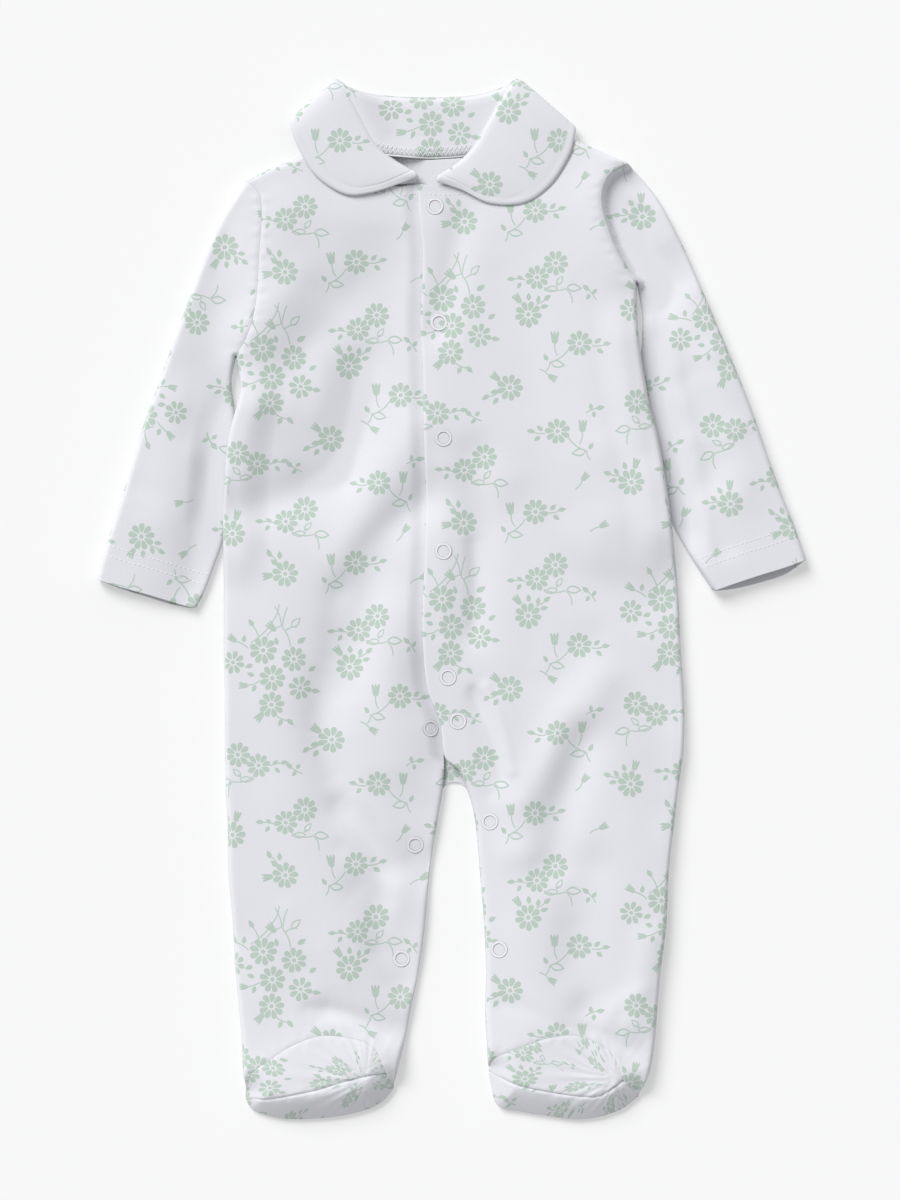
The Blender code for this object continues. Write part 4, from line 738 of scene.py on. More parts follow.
def tucked(points, side):
    outside = -inside_side(points, side)
    return beside_sleeve(points, side) * smoothstep((TUCK_REACH - outside) / TUCK_RISE)


def rounded(gap, width):
    """0 at an edge and 1 from the width on, with a quarter of a circle between them."""
    level = 1.0 - np.clip(gap / width, 0.0, 1.0)
    return np.sqrt(1.0 - level ** 2)


PLACKET_ROUND = 1.6     # the folded front edge is rounded over this width
PLACKET_DROP = 0.8      # and comes down by this
PLACKET_SINK = 2.8      # the right front sinks toward it,
SINK_REACH = 12.0       # over this width,
SINK_TOP = -14.0        # and below this,
SINK_FADE = 34.0        # coming in over this length
RIGHT_LEAST = 2.6


def front_height(side):
    def height(points):
        z = plain_height(points) + body_lift(points)
        if side == "right":
            beside = distance(points, [above(BODY["left_edge"], FRONT_SPLIT_Y)])
            low = smoothstep((SINK_TOP - points[..., 1]) / SINK_FADE)
            z = z - OVERLAP_STEP * under_overlap(points)
            z = z - PLACKET_SINK * low * soft(beside, SINK_REACH)
            return np.maximum(z, body_lift(points) + RIGHT_LEAST)
        level = rounded(distance(points, [front_edge("left")]), PLACKET_ROUND)
        return z - PLACKET_DROP * (1.0 - level)
    return height


def sleeve_top(side):
    def height(points):
        pressed = tucked(points, side)
        return SLEEVE_TUCK * pressed + plain_height(points) * (1 - pressed) + neck_lift(points)
    return height


def sleeve_seam(side):
    def height(points):
        return np.minimum(SEAM_RISE, sleeve_top(side)(points) / 2) + neck_lift(points)
    return height


def seam_base(points):
    return SEAM_RISE + SEAM_GAP / 2 + body_lift(points)


SOLE_SLANT = 1.5        # the sole goes down toward the toes; at 1 it would be a flat slope
FOOT_TOP = -240.0       # only the feet have soles, below this
FOOT_FADE = 20.0
ROLL_SPAN = 1.45        # a rounded edge is at most this many times as wide as it is high,
ROLL_LEAST = 0.2        # and this share of the full width more
FOOT_ENDS = [foot_outline(side) for side in SIDES]


def upper_z(points, height, rolls, base):
    top, foot = height(points), base(points)
    wide = np.minimum(EDGE_ROLL, ROLL_SPAN * (top - foot) + ROLL_LEAST * EDGE_ROLL)
    on_foot = smoothstep((FOOT_TOP - points[..., 1]) / FOOT_FADE)
    slant = 1.0 - np.clip(distance(points, FOOT_ENDS) / FOOT_ROLL, 0.0, 1.0)
    slanted = 1.0 - on_foot * slant ** SOLE_SLANT
    return foot + (top - foot) * np.minimum(rounded(distance(points, rolls), wide), slanted)


def lower_z(points, rolls, lift, high):
    wide = np.minimum(BACK_ROLL, ROLL_SPAN * high)
    return lift(points) + high * (1.0 - rounded(distance(points, rolls), wide))


sample = np.array([(-60.0, 100.0), (60.0, 100.0), (68.0, -262.0)])
print("height at two places on the body and on a foot, mm:", plain_height(sample).round(1))

# %% [markdown]
# ## A printed cotton: the motifs
#
# The cloth is screen printed with small daisies, buds, leaves and thin stems in one soft green.
# The motifs are kept as a drawing would keep them: a daisy is a place, a radius and a number of
# petals, a leaf is a place, a direction and a size, and a stem is a bowed line. Sprigs are made of
# those, and one repeat of the cloth is made of sprigs. A picture file would be quicker to use, but
# it would blur close up and it could not be changed by changing a number.

# %% Sprigs of the print, in millimetres
DAISY_COLUMNS = ("x", "y", "radius", "petals")
LEAF_COLUMNS = ("x", "y", "direction", "length", "width", "kind")
STEM_COLUMNS = ("x0", "y0", "x1", "y1", "bend")
SOLID, OUTLINED, BUD = 0.0, 1.0, 2.0
SPRIGS = {
    "posy": {
        "daisies": ((-12.5, 9.5, 6.9, 9), (4, 15.5, 7.6, 9), (21, 10, 6.4, 8), (0, 0, 7.2, 9),
                    (-15, -6.5, 6.6, 8), (1.5, -14.5, 7.1, 9)),
        "leaves": ((-17.5, 19.5, 150, 5.6, 3, SOLID), (-3.6, 20, 80, 4.6, 2.4, SOLID),
                   (-1.5, 28, 50, 7, 4.8, BUD), (-15, 29.5, 140, 7.4, 3.8, OUTLINED),
                   (12.4, 7.4, -15, 4.6, 2.6, SOLID), (11.8, 2.8, 25, 4.4, 2.4, SOLID),
                   (16.2, -3, 5, 5.6, 4.2, BUD), (10.4, -5, -65, 4.2, 2.4, SOLID),
                   (8.4, -20.6, -45, 6.8, 4.8, BUD), (-8.2, -24.8, 230, 5, 2.6, SOLID),
                   (-2.6, -24.8, -60, 4.4, 2.4, SOLID), (20.5, 23, 40, 6, 4.4, BUD),
                   (14, 22.6, 100, 4.2, 2.4, SOLID), (-22.4, 3.4, 150, 4.8, 2.6, SOLID),
                   (-23.6, -9, 190, 5, 2.6, SOLID), (9.6, 31, 60, 5, 2.6, SOLID)),
        "stems": ((-11, 16.5, -7.5, 27, 1), (-7.5, 27, -11, 38, -0.6),
                  (1.5, 23, -7, 28, -1), (-7, 28, -4, 39, 0.8),
                  (10.5, 20, -4.5, 34, 1.4), (-4.5, 34, -6.5, 40, 0.3),
                  (12, 17, 19, 21.6, 0.6), (7, -1, 14.6, -3, -0.6),
                  (-1, -21, -7.4, -24, 0.5), (-15.5, 27, -8.5, 25, 0.8),
                  (6, 23, 9, 29.5, 0.4)),
    },
    "twins": {
        "daisies": ((0, 0, 6.9, 9), (-10.2, -7.8, 6.6, 9)),
        "leaves": ((2.2, -9.6, 55, 6.4, 3.2, OUTLINED), (-2.6, -14.2, 188, 8.2, 3.6, OUTLINED),
                   (10.2, -13.6, -4, 8.6, 4.6, OUTLINED), (-19.6, -7.8, 150, 3.8, 2.2, SOLID),
                   (-20, -12.2, 240, 4, 2.2, SOLID), (-24.6, -8.6, 185, 4.6, 2.4, SOLID)),
        "stems": ((-6.5, -13.4, 5.5, -14, -1.4), (5.5, -14, 9, -22, 1.2),
                  (-16.4, -9.2, -23, -8.8, -0.6), (0.6, -12.6, 1.6, -10.6, 0)),
    },
    "bud and daisy": {
        "daisies": ((0, 0, 6.9, 9),),
        "leaves": ((-13.8, 1.8, 97, 7.4, 5.4, BUD), (-10.6, -12.4, -6, 8.2, 4.4, OUTLINED),
                   (-17.6, -9.4, 125, 4.4, 2.4, SOLID), (9.6, 2.4, 45, 4.4, 2.4, SOLID),
                   (11.4, -3.2, -35, 4.2, 2.4, SOLID), (14.6, 1.2, 10, 4.6, 2.4, SOLID)),
        "stems": ((-5.6, -3.8, -15, -11.8, 1.2), (-15, -11.8, -16.6, -17, 0.5),
                  (-13.4, -1.6, -11.2, -8, -0.6), (6.8, -0.6, 13.4, 0.6, -0.5)),
    },
    "single": {
        "daisies": ((0, 0, 7.3, 9),),
        "leaves": ((4.6, 9.4, 62, 6.4, 4.6, BUD), (-1.6, 9.6, 95, 4.4, 2.6, SOLID),
                   (-6.6, 7.4, 110, 4.4, 2.4, SOLID), (-11.6, 7.6, 150, 4.8, 2.6, SOLID),
                   (-9.4, 3, 175, 4.6, 2.4, SOLID)),
        "stems": ((-5, 4.8, -10.4, 6.8, 0.4),),
    },
    "low leaves": {
        "daisies": ((0, 0, 7.2, 9),),
        "leaves": ((-7.8, 5.8, 140, 6.4, 4.8, BUD), (-8.6, -2.4, 195, 4.8, 2.6, SOLID),
                   (-13.4, -5.4, 215, 5, 2.6, SOLID), (-7.8, -7.4, 235, 4.6, 2.6, SOLID)),
        "stems": ((-6, -2.6, -12.4, -5.2, 0.4),),
    },
    "bud": {
        "daisies": (),
        "leaves": ((1.2, -0.6, -30, 5.6, 4.4, BUD),),
        "stems": ((-6, 4, -0.8, 0.6, 0.6),),
    },
    "twig": {
        "daisies": (),
        "leaves": ((3.4, -1, -20, 4.8, 2.6, SOLID), (-0.8, 2.2, 65, 3.8, 2.2, SOLID),
                   (-1.6, -2.4, 240, 3.6, 2.2, SOLID)),
        "stems": ((-5, 0.6, 2.2, -0.4, 0.3),),
    },
}
REPEAT = (120, 165)
DAISY_TURN = 0.37       # each daisy is turned by this share of a petal from the last one
TURN_SPAN, TURN_LEAST = 0.8, 0.1
LAYOUT_COLUMNS = ("sprig", "u", "v", "turn", "mirrored")
LAYOUT = (
    ("posy", 34, 116, 4, True),
    ("twins", 91, 150, 0, False),
    ("single", 76, 122, 8, True),
    ("bud and daisy", 104, 106, -6, False),
    ("twins", 15, 74, 10, True),
    ("low leaves", 66, 82, 0, False),
    ("bud and daisy", 92, 58, 4, True),
    ("twins", 52, 44, -4, False),
    ("single", 12, 30, 12, False),
    ("bud and daisy", 80, 14, 0, False),
    ("low leaves", 41, 8, 150, True),
    ("bud", 88, 88, 0, False),
    ("twig", 112, 70, 30, False),
    ("twig", 46, 66, 160, False),
    ("bud", 106, 32, 200, True),
    ("twig", 110, 134, -60, True),
    ("bud", 116, 6, 60, False),
)


def laid_out():
    daisies, leaves, stems = [], [], []
    for sprig, u, v, turn, mirrored in LAYOUT:
        swing = math.radians(turn)
        flip = -1.0 if mirrored else 1.0

        def place(x, y):
            x *= flip
            return (u + x * math.cos(swing) - y * math.sin(swing),
                    v + x * math.sin(swing) + y * math.cos(swing))

        for x, y, radius, petals in SPRIGS[sprig]["daisies"]:
            petal_turn = (DAISY_TURN * len(daisies)) % TURN_SPAN + TURN_LEAST
            daisies.append((*place(x, y), radius, petals, petal_turn))
        for x, y, direction, length, width, kind in SPRIGS[sprig]["leaves"]:
            pointing = math.radians(direction if flip > 0 else 180.0 - direction) + swing
            leaves.append((*place(x, y), pointing, length / 2, width / 2, kind))
        for x0, y0, x1, y1, bend in SPRIGS[sprig]["stems"]:
            stems.append((*place(x0, y0), *place(x1, y1), bend * flip))
    return np.array(daisies), np.array(leaves), np.array(stems)


DAISIES, LEAVES, STEMS = laid_out()
print(f"one repeat has {len(DAISIES)} daisies, {len(LEAVES)} leaves and buds, {len(STEMS)} stems")

# %% [markdown]
# ## Putting the print on a mesh
#
# A material can draw one daisy very sharply, but it would be slow to try every daisy for every
# point. So each face of the mesh looks up its two nearest daisies, leaves and stems once, and its
# corners carry the place within each of them. The material then has only six small shapes to draw.
# A texture map on the mesh could do this too, but it would need an unwrap and a painted picture.
# Seen from above, the cloth at a rounded edge is short. The print is laid out over its true width
# there, or the flowers would smear into stripes down the sides.

# %% Print coordinates for the corners of a mesh


def wrapped(offset):
    return offset - np.array(REPEAT) * np.round(offset / np.array(REPEAT))


def turned(offset, angle):
    cos, sin = np.cos(angle), np.sin(angle)
    return np.stack([offset[..., 0] * cos + offset[..., 1] * sin,
                     offset[..., 1] * cos - offset[..., 0] * sin], axis=-1)


def nearest_two(measure):
    order = np.argpartition(measure, 1, axis=1)[:, :2]
    rows = np.arange(len(measure))[:, None]
    return np.take_along_axis(order, measure[rows, order].argsort(axis=1), axis=1)


def motif_frames(kind):
    """Centre, direction, half length and half width of each motif of a kind, and its code."""
    none = np.zeros(len({"daisy": DAISIES, "leaf": LEAVES, "stem": STEMS}[kind]))
    if kind == "daisy":
        return (DAISIES[:, :2], none, DAISIES[:, 2:3].repeat(2, axis=1),
                DAISIES[:, 3] + DAISIES[:, 4], none)
    if kind == "leaf":
        return LEAVES[:, :2], LEAVES[:, 2], LEAVES[:, 3:5], LEAVES[:, 5], none
    middle = (STEMS[:, :2] + STEMS[:, 2:4]) / 2
    chord = STEMS[:, 2:4] - STEMS[:, :2]
    size = np.column_stack([np.linalg.norm(chord, axis=1) / 2, none + 1.0])
    return middle, np.arctan2(chord[:, 1], chord[:, 0]), size, none, STEMS[:, 4]


def print_corners(corners):
    """For corners (faces, 3, 2) on the cloth as cut, what each attribute of the print holds."""
    centre = corners.mean(axis=1)
    made = {}
    for kind in ("daisy", "leaf", "stem"):
        middle, direction, size, code, bend = motif_frames(kind)
        offset = wrapped(centre[:, None] - middle[None])
        local = turned(offset, direction[None])
        bow = bend[None] * (1.0 - (local[..., 0] / size[None, :, 0]) ** 2)
        if kind == "stem":
            past = np.maximum(np.abs(local[..., 0]) - size[None, :, 0], 0.0)
            measure = np.hypot(local[..., 1] - np.where(past > 0, 0.0, bow), past)
        else:
            measure = np.hypot(local[..., 0] / size[None, :, 0], local[..., 1] / size[None, :, 1])
        for rank, letter in enumerate("ab"):
            pick = nearest_two(measure)[:, rank]
            rows = np.arange(len(centre))
            at = offset[rows, pick][:, None] + corners - centre[:, None]
            at = turned(at, direction[pick][:, None])
            x = at[..., 0] / size[pick, 0][:, None]
            y = (at[..., 1] - bend[pick][:, None] * (1.0 - x ** 2)) / size[pick, 1][:, None]
            third = np.broadcast_to(code[pick][:, None], x.shape)
            made[kind + "_" + letter] = np.stack([x, y, third], axis=-1)
    return made


EDGE_STEPS = 4          # triangles between a rounded edge and the cloth beside it


def unit(vectors):
    return vectors / np.maximum(np.linalg.norm(vectors, axis=-1, keepdims=True), 1e-9)


def unrolled(points, faces):
    """Places on the cloth laid flat: where it bends down at an edge, it is laid outward."""
    top = points[:, 2].copy()
    for _ in range(EDGE_STEPS):
        most = top[faces].max(axis=1)
        for corner in range(3):
            np.maximum.at(top, faces[:, corner], most)
    first, second, third = (points[faces[:, corner]] for corner in range(3))
    across = np.cross(second - first, third - first)
    normals = np.zeros(points.shape)
    for corner in range(3):
        np.add.at(normals, faces[:, corner], across)
    normals = unit(normals)
    facing = np.where(normals[:, 2:] >= 0.0, 1.0, -1.0)
    return points[:, :2] + facing * normals[:, :2] * (top - points[:, 2])[:, None]


def as_cut(points, angle, origin):
    """Places on the cloth before it was cut, for places on the garment, in millimetres."""
    return turned(points[..., :2] - np.array(origin), math.radians(angle))


def add_print(mesh, points, faces, angle, origin):
    corners = as_cut(points[faces], angle, origin)
    values = print_corners(corners)
    values["cut_place"] = np.concatenate([corners, np.zeros(corners.shape[:2] + (1,))], axis=-1)
    for name, value in values.items():
        attribute = mesh.attributes.new(name, "FLOAT_VECTOR", "CORNER")
        attribute.data.foreach_set("vector", np.ascontiguousarray(value, dtype=np.float32).ravel())


# %% [markdown]
# ## The cloth's finish
#
# Cotton interlock is matt, a little fuzzy, and has very fine ribs. Its white is not pure: shadows
# turn it faintly blue. The ink sinks into the knit, so it has no edge that can be felt, and it is
# slightly broken where the threads show through. All of this is worked out in nodes from the
# corner values above. A flat colour with a separate decal for the flowers would look stuck on.

# %% Node helpers
CLOTH_WHITE = (0.748, 0.75, 0.786)
INK_GREEN = (0.465, 0.565, 0.495)


class Nodes:
    """Short ways to add nodes to one material and to join them."""

    def __init__(self, name):
        self.material = bpy.data.materials.new(name)
        self.material.use_nodes = True
        self.tree = self.material.node_tree
        self.shader = self.tree.nodes["Principled BSDF"]

    def add(self, kind, **settings):
        node = self.tree.nodes.new(kind)
        for key, value in settings.items():
            setattr(node, key, value)
        return node

    def plug(self, socket, value):
        if isinstance(value, bpy.types.NodeSocket):
            self.tree.links.new(value, socket)
        else:
            socket.default_value = value

    def math(self, operation, *values, clamp=False):
        node = self.add("ShaderNodeMath", operation=operation, use_clamp=clamp)
        for socket, value in zip(node.inputs, values):
            self.plug(socket, value)
        return node.outputs[0]

    plus = partialmethod(math, "ADD")
    minus = partialmethod(math, "SUBTRACT")
    times = partialmethod(math, "MULTIPLY")
    scaled = partialmethod(math, "MULTIPLY_ADD")
    size = partialmethod(math, "ABSOLUTE")

    def split(self, vector):
        node = self.add("ShaderNodeSeparateXYZ")
        self.plug(node.inputs[0], vector)
        return node.outputs

    def place(self, attribute):
        source = self.add("ShaderNodeAttribute", attribute_name=attribute)
        return self.split(source.outputs["Vector"])

    def soft(self, inside, edge):
        """1 where inside is positive, 0 where it is negative, with an edge of that width."""
        return self.scaled(inside, 1.0 / edge, 0.5, clamp=True)

    def noise(self, where, scale, detail=3.0):
        node = self.add("ShaderNodeTexNoise")
        self.plug(node.inputs["Vector"], where)
        set_inputs(node, {"Scale": scale, "Detail": detail})
        return node.outputs["Fac"]

    def mixed(self, first, second, share):
        node = self.add("ShaderNodeMix", data_type="RGBA")
        for name, value in (("A", first), ("B", second), ("Factor", share)):
            self.plug(node.inputs[name], value)
        return node.outputs["Result"]


# %% The shapes that the ink makes
PETAL_MIDDLE = 0.64     # sizes of a daisy are shares of its radius
PETAL_REACH = 0.365
PETAL_HALF_WIDTH = 0.213
PETAL_SWELL = 0.40      # how much wider a petal is toward its tip
PETAL_GAP = 0.012       # bare cloth on each side of a petal
WHOLE_TURNS = 20.0      # keeps the count of petals positive all round
DAISY_DOT = 0.165
DAISY_EDGE = 0.04
LEAF_EDGE = 0.13        # and those of a leaf are shares of half its width
LEAF_RIM = 0.42
LEAF_TAPER = -0.3
BUD_PRONGS = (0.5, 0.45)        # depth and height of the three points of its rim
BUD_SIDE = (0.24, 0.74)         # slope and half width of its cup
BUD_HEEL = 1.9
SAME_KIND = 0.4
STEM_HALF_WIDTH = 0.34  # mm
STEM_EDGE = 0.2


def daisy_ink(n, attribute):
    x, y, code = n.place(attribute)
    pitch = n.math("DIVIDE", math.tau, n.math("FLOOR", code))
    turn = n.plus(n.math("DIVIDE", n.math("ARCTAN2", y, x), pitch), code)
    off = n.times(n.minus(n.math("FRACT", n.plus(turn, WHOLE_TURNS)), 0.5), pitch)
    reach = n.math("SQRT", n.plus(n.times(x, x), n.times(y, y)))
    out = n.times(reach, n.math("COSINE", off))
    aside = n.size(n.times(reach, n.math("SINE", off)))
    share = n.math("DIVIDE", n.minus(out, PETAL_MIDDLE), PETAL_REACH)
    round_off = n.math("SQRT", n.minus(1.0, n.times(share, share), clamp=True))
    swell = n.scaled(share, PETAL_SWELL, 1.0)
    half_width = n.times(n.times(round_off, swell), PETAL_HALF_WIDTH)
    petal = n.soft(n.minus(n.minus(half_width, aside), PETAL_GAP), DAISY_EDGE)
    dot = n.soft(n.minus(DAISY_DOT, reach), DAISY_EDGE)
    return n.math("MAXIMUM", petal, dot)


def leaf_ink(n, attribute):
    x, y, kind = n.place(attribute)
    aside = n.size(y)
    tapered = n.scaled(n.math("MINIMUM", x, 1.0), LEAF_TAPER, 1.0)
    inside = n.minus(n.times(n.minus(1.0, n.times(x, x)), tapered), aside)
    leaf = n.soft(inside, LEAF_EDGE)
    hollow = n.soft(n.minus(inside, LEAF_RIM), LEAF_EDGE)
    outlined = n.math("COMPARE", kind, OUTLINED, SAME_KIND)
    leaf = n.minus(leaf, n.times(hollow, outlined))
    prongs = n.size(n.math("COSINE", n.times(y, 1.5 * math.pi)))
    top = n.minus(n.scaled(prongs, *BUD_PRONGS), x)
    cup = n.minus(n.scaled(x, *BUD_SIDE), aside)
    heel = n.scaled(n.plus(x, 1.0), BUD_HEEL, n.times(aside, -1.0))
    bud = n.soft(n.math("MINIMUM", n.math("MINIMUM", top, cup), heel), LEAF_EDGE)
    is_bud = n.math("COMPARE", kind, BUD, SAME_KIND)
    return n.scaled(bud, is_bud, n.times(leaf, n.minus(1.0, is_bud)))


def stem_ink(n, attribute):
    x, off, _ = n.place(attribute)
    line = n.soft(n.minus(STEM_HALF_WIDTH, n.size(off)), STEM_EDGE)
    return n.times(line, n.math("LESS_THAN", n.size(x), 1.0))


# %% Two finishes: the printed side and the plain side
KNIT_RIB = 0.9          # one rib of the interlock, mm
COURSE = 0.72           # one row of its loops
RIB_DEPTH, COURSE_DEPTH = 0.12, 0.06
FUZZ_SIZE = 1.4         # waves of the noises per millimetre of cloth
GRAIN_SIZE = 1.7
CLOUD_SIZE = 0.03
GRAIN_SHARE, CLOUD_SHIFT = 1.6, -0.8
MOTTLE = 0.94           # the darker of the cloth's two whites
INK_BREAK, INK_FULL = -0.28, 1.10
BUMP = {"Strength": 0.3, "Distance": 0.00012}
INKS = {"daisy": daisy_ink, "leaf": leaf_ink, "stem": stem_ink}
COTTON = {"Roughness": 0.92, "Specular IOR Level": 0.18, "Sheen Weight": 0.12,
          "Sheen Roughness": 0.6}


def cotton(name, printed):
    n = Nodes(name)
    where = n.add("ShaderNodeAttribute", attribute_name="cut_place").outputs["Vector"]
    across, along_cloth, _ = n.split(where)
    fuzz = n.noise(where, FUZZ_SIZE)
    cloud = n.noise(where, CLOUD_SIZE, 2.0)
    grain = n.noise(where, GRAIN_SIZE, 2.0)
    mottled = n.scaled(grain, GRAIN_SHARE, n.plus(cloud, CLOUD_SHIFT), clamp=True)
    darker = (*(c * MOTTLE for c in CLOTH_WHITE), 1.0)
    shown = n.mixed((*CLOTH_WHITE, 1.0), darker, mottled)
    if printed:
        ink = 0.0
        for kind, draw in INKS.items():
            for letter in "ab":
                ink = n.math("MAXIMUM", ink, draw(n, f"{kind}_{letter}"))
        broken = n.scaled(fuzz, INK_BREAK, INK_FULL, clamp=True)
        bare = n.add("ShaderNodeAttribute", attribute_name="bare").outputs["Fac"]
        ink = n.times(n.times(ink, broken), n.minus(1.0, bare))
        shown = n.mixed(shown, (*INK_GREEN, 1.0), ink)
    n.plug(n.shader.inputs["Base Color"], shown)
    rib = n.math("SINE", n.times(across, math.tau / KNIT_RIB))
    course = n.math("SINE", n.times(along_cloth, math.tau / COURSE))
    bump = n.add("ShaderNodeBump")
    set_inputs(bump, BUMP)
    n.plug(bump.inputs["Height"], n.scaled(rib, RIB_DEPTH, n.scaled(course, COURSE_DEPTH, fuzz)))
    n.plug(n.shader.inputs["Normal"], bump.outputs["Normal"])
    set_inputs(n.shader, COTTON)
    return n.material


printed_cotton = cotton("printed_cotton_face", True)
plain_cotton = cotton("plain_cotton_back", False)
print("nodes in the printed cotton:", len(printed_cotton.node_tree.nodes))

# %% [markdown]
# ## Cutting a panel
#
# A panel starts as its outline on the table, filled with points: rows close to the edge, where the
# cloth turns over, and an even honeycomb inside. Blender joins them into triangles inside the
# outline, and each point is then raised to the height of the cloth there. A grid of squares would
# be easier to count, but it shears along every slanted seam. Last, the sheet gets its thickness.

# %% The panel maker
EDGE_STEP = 1.3
EDGE_ROWS = (0.35, 0.9, 1.7, 2.8)       # distances from the outline
OWN_ROW = 0.96          # a point much nearer than its row is to another edge is left out


def closed_outline(lines):
    return np.vstack([evenly(line, EDGE_STEP)[:-1] for line in lines])


def edge_rows(outline, rows):
    tangent = np.roll(outline, -1, axis=0) - np.roll(outline, 1, axis=0)
    normal = np.column_stack([-tangent[:, 1], tangent[:, 0]])
    normal /= np.linalg.norm(normal, axis=1, keepdims=True)
    ring = [np.vstack([outline, outline[:1]])]
    kept = []
    for row in rows:
        points = outline + normal * row
        kept.append(points[distance(points, ring) > OWN_ROW * row])
    return kept


def honeycomb(low, high, step):
    rise = step * math.sqrt(3) / 2
    rows = np.arange(low[1], high[1], rise)
    across = np.arange(low[0], high[0], step)
    x = across[None, :] + (np.arange(len(rows)) % 2)[:, None] * step / 2
    y = np.broadcast_to(rows[:, None], x.shape)
    return np.column_stack([x.ravel(), y.ravel()])


def flat_panel(lines, step):
    """Points and triangles of a panel that is drawn anticlockwise, flat on the table."""
    outline = closed_outline(lines)
    inner = honeycomb(outline.min(axis=0), outline.max(axis=0), step)
    ring = np.vstack([outline, outline[:1]])
    gap = distance(inner, [ring])
    inner = inner[gap > EDGE_ROWS[-1] + 0.5 * step]
    rows = edge_rows(outline, EDGE_ROWS)
    points = np.vstack([outline] + rows + [inner])
    count = len(outline)
    edges = [(i, (i + 1) % count) for i in range(count)]
    made = delaunay_2d_cdt([Vector(p) for p in points], edges, [], 1, 1e-5)
    places = np.array([tuple(p) for p in made[0]])
    faces = np.array([face for face in made[2] if len(face) == 3])
    used, numbers = np.unique(faces, return_inverse=True)
    return places[used], numbers.reshape(faces.shape)


def make_mesh(name, points, faces, materials, angle=0.0, origin=(0.0, 0.0), flat=None):
    mesh = bpy.data.meshes.new(name)
    mesh.from_pydata((points * MM).tolist(), [], faces.tolist())
    for material in materials:
        mesh.materials.append(material)
    mesh.polygons.foreach_set("use_smooth", np.ones(len(faces), dtype=bool))
    add_print(mesh, unrolled(points, faces) if flat is None else flat, faces, angle, origin)
    return placed(name, mesh)


def thicken(piece):
    wall = piece.modifiers.new("cloth", "SOLIDIFY")
    wall.thickness = CLOTH * MM
    wall.offset = -1.0
    wall.material_offset = 1
    wall.material_offset_rim = 0
    wall.use_even_offset = False


def facing_faces(piece, points, faces, lines, width):
    """Faces near an edge that is turned in or faced show the print on the inside too."""
    centre = points[faces][..., :2].mean(axis=1)
    near = distance(centre, lines) < width
    piece.data.polygons.foreach_set("material_index", np.where(near, 2, 0).astype(np.int32))


CLOTH_MATERIALS = (printed_cotton, plain_cotton, printed_cotton, printed_cotton)


def finish_piece(piece):
    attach(piece, "root")
    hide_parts(piece.name.removesuffix("_cloth"))
    return piece


# %% [markdown]
# ## The back
#
# The back is one large panel with both legs on it, and it lies flat on the table. Its outer side is
# down, so its triangles are turned over before it gets its thickness. Its inside shows only in the
# neck and between the legs, where a narrow band of the print is turned in.

# %% Cut the back
BACK_STEP = 2.3
BACK_CREASE = 0.25      # height of the low waves that the back keeps from lying folded
BACK_WAVES = (17.0, 41.0, 29.0)         # mm per radian: x and y of one wave, y of the other
FACING = 19.0           # edges are turned in this far, so the inside shows the print there
BACK_PRINT = (0.0, (-53.0, -137.0))


def back_outline():
    right_foot, left_foot = foot_outline("right"), foot_outline("left")
    left_nape, right_nape = nape("left"), nape("right")
    return [right_foot, back_leg_edge("right"), back_leg_edge("left")[::-1], left_foot,
            leg_side("left"), ARMHOLES["left"], SHOULDERS["left"], left_nape, right_nape[::-1],
            SHOULDERS["right"][::-1], ARMHOLES["right"][::-1], leg_side("right")[::-1]]


def back_creases(points):
    x, y = points[:, 0], points[:, 1]
    waves = np.sin(x / BACK_WAVES[0] + y / BACK_WAVES[1]) * np.sin(y / BACK_WAVES[2])
    return BACK_CREASE * np.maximum(waves, 0.0) ** 2


def cut_back():
    places, faces = flat_panel(back_outline(), BACK_STEP)
    high = np.full(len(places), SEAM_RISE - SEAM_GAP / 2)
    z = lower_z(places, BACK_ROLLS, body_lift, high) + back_creases(places)
    points = np.column_stack([places, z])
    faces = faces[:, ::-1]
    piece = make_mesh("back_cloth", points, faces, CLOTH_MATERIALS, *BACK_PRINT)
    facing_faces(piece, points, faces, [back_leg_edge(side) for side in SIDES], FACING)
    thicken(piece)
    return finish_piece(piece)


back = cut_back()
print("back:", len(back.data.polygons), "triangles a side")

# %% [markdown]
# ## The two fronts
#
# The left front laps over the right one and carries most of the studs. Its edge is folded to the
# inside, so it is round where the other edges are cut. The two panels share one height field, and
# the right one steps down just before it passes under.

# %% Cut the fronts
FRONT_STEP = 1.65
FRONT_PRINTS = {"right": (0.0, (-12.0, 6.0)), "left": (0.0, (-34.0, 34.0))}


def front_outline(side):
    arc = foot_line(side, "arc_y")
    if side == "right":
        return [arc, front_edge("right"), neckline("right")[::-1], SHOULDERS["right"][::-1],
                ARMHOLES["right"][::-1], leg_side("right")[::-1]]
    return [arc, leg_side("left"), ARMHOLES["left"], SHOULDERS["left"], neckline("left"),
            front_edge("left")[::-1]]


def cut_front(side):
    places, faces = flat_panel(front_outline(side), FRONT_STEP)
    z = upper_z(places, front_height(side), FRONT_ROLLS, seam_base)
    points = np.column_stack([places, z])
    piece = make_mesh(f"front_{side}_cloth", points, faces, CLOTH_MATERIALS, *FRONT_PRINTS[side])
    facing_faces(piece, points, faces, [front_edge(side)], FACING)
    thicken(piece)
    return finish_piece(piece)


fronts = {side: cut_front(side) for side in SIDES}
print("fronts:", [len(piece.data.polygons) for piece in fronts.values()])

# %% [markdown]
# ## The sleeves
#
# A sleeve is a tube that lies flat: one layer below, one above, and a fold along each side. The
# two layers are cut with the same points along the folds, so that they join into one tube without
# a step. The layer below ends a little lower at the cuff, and its turned-in hem shows there.

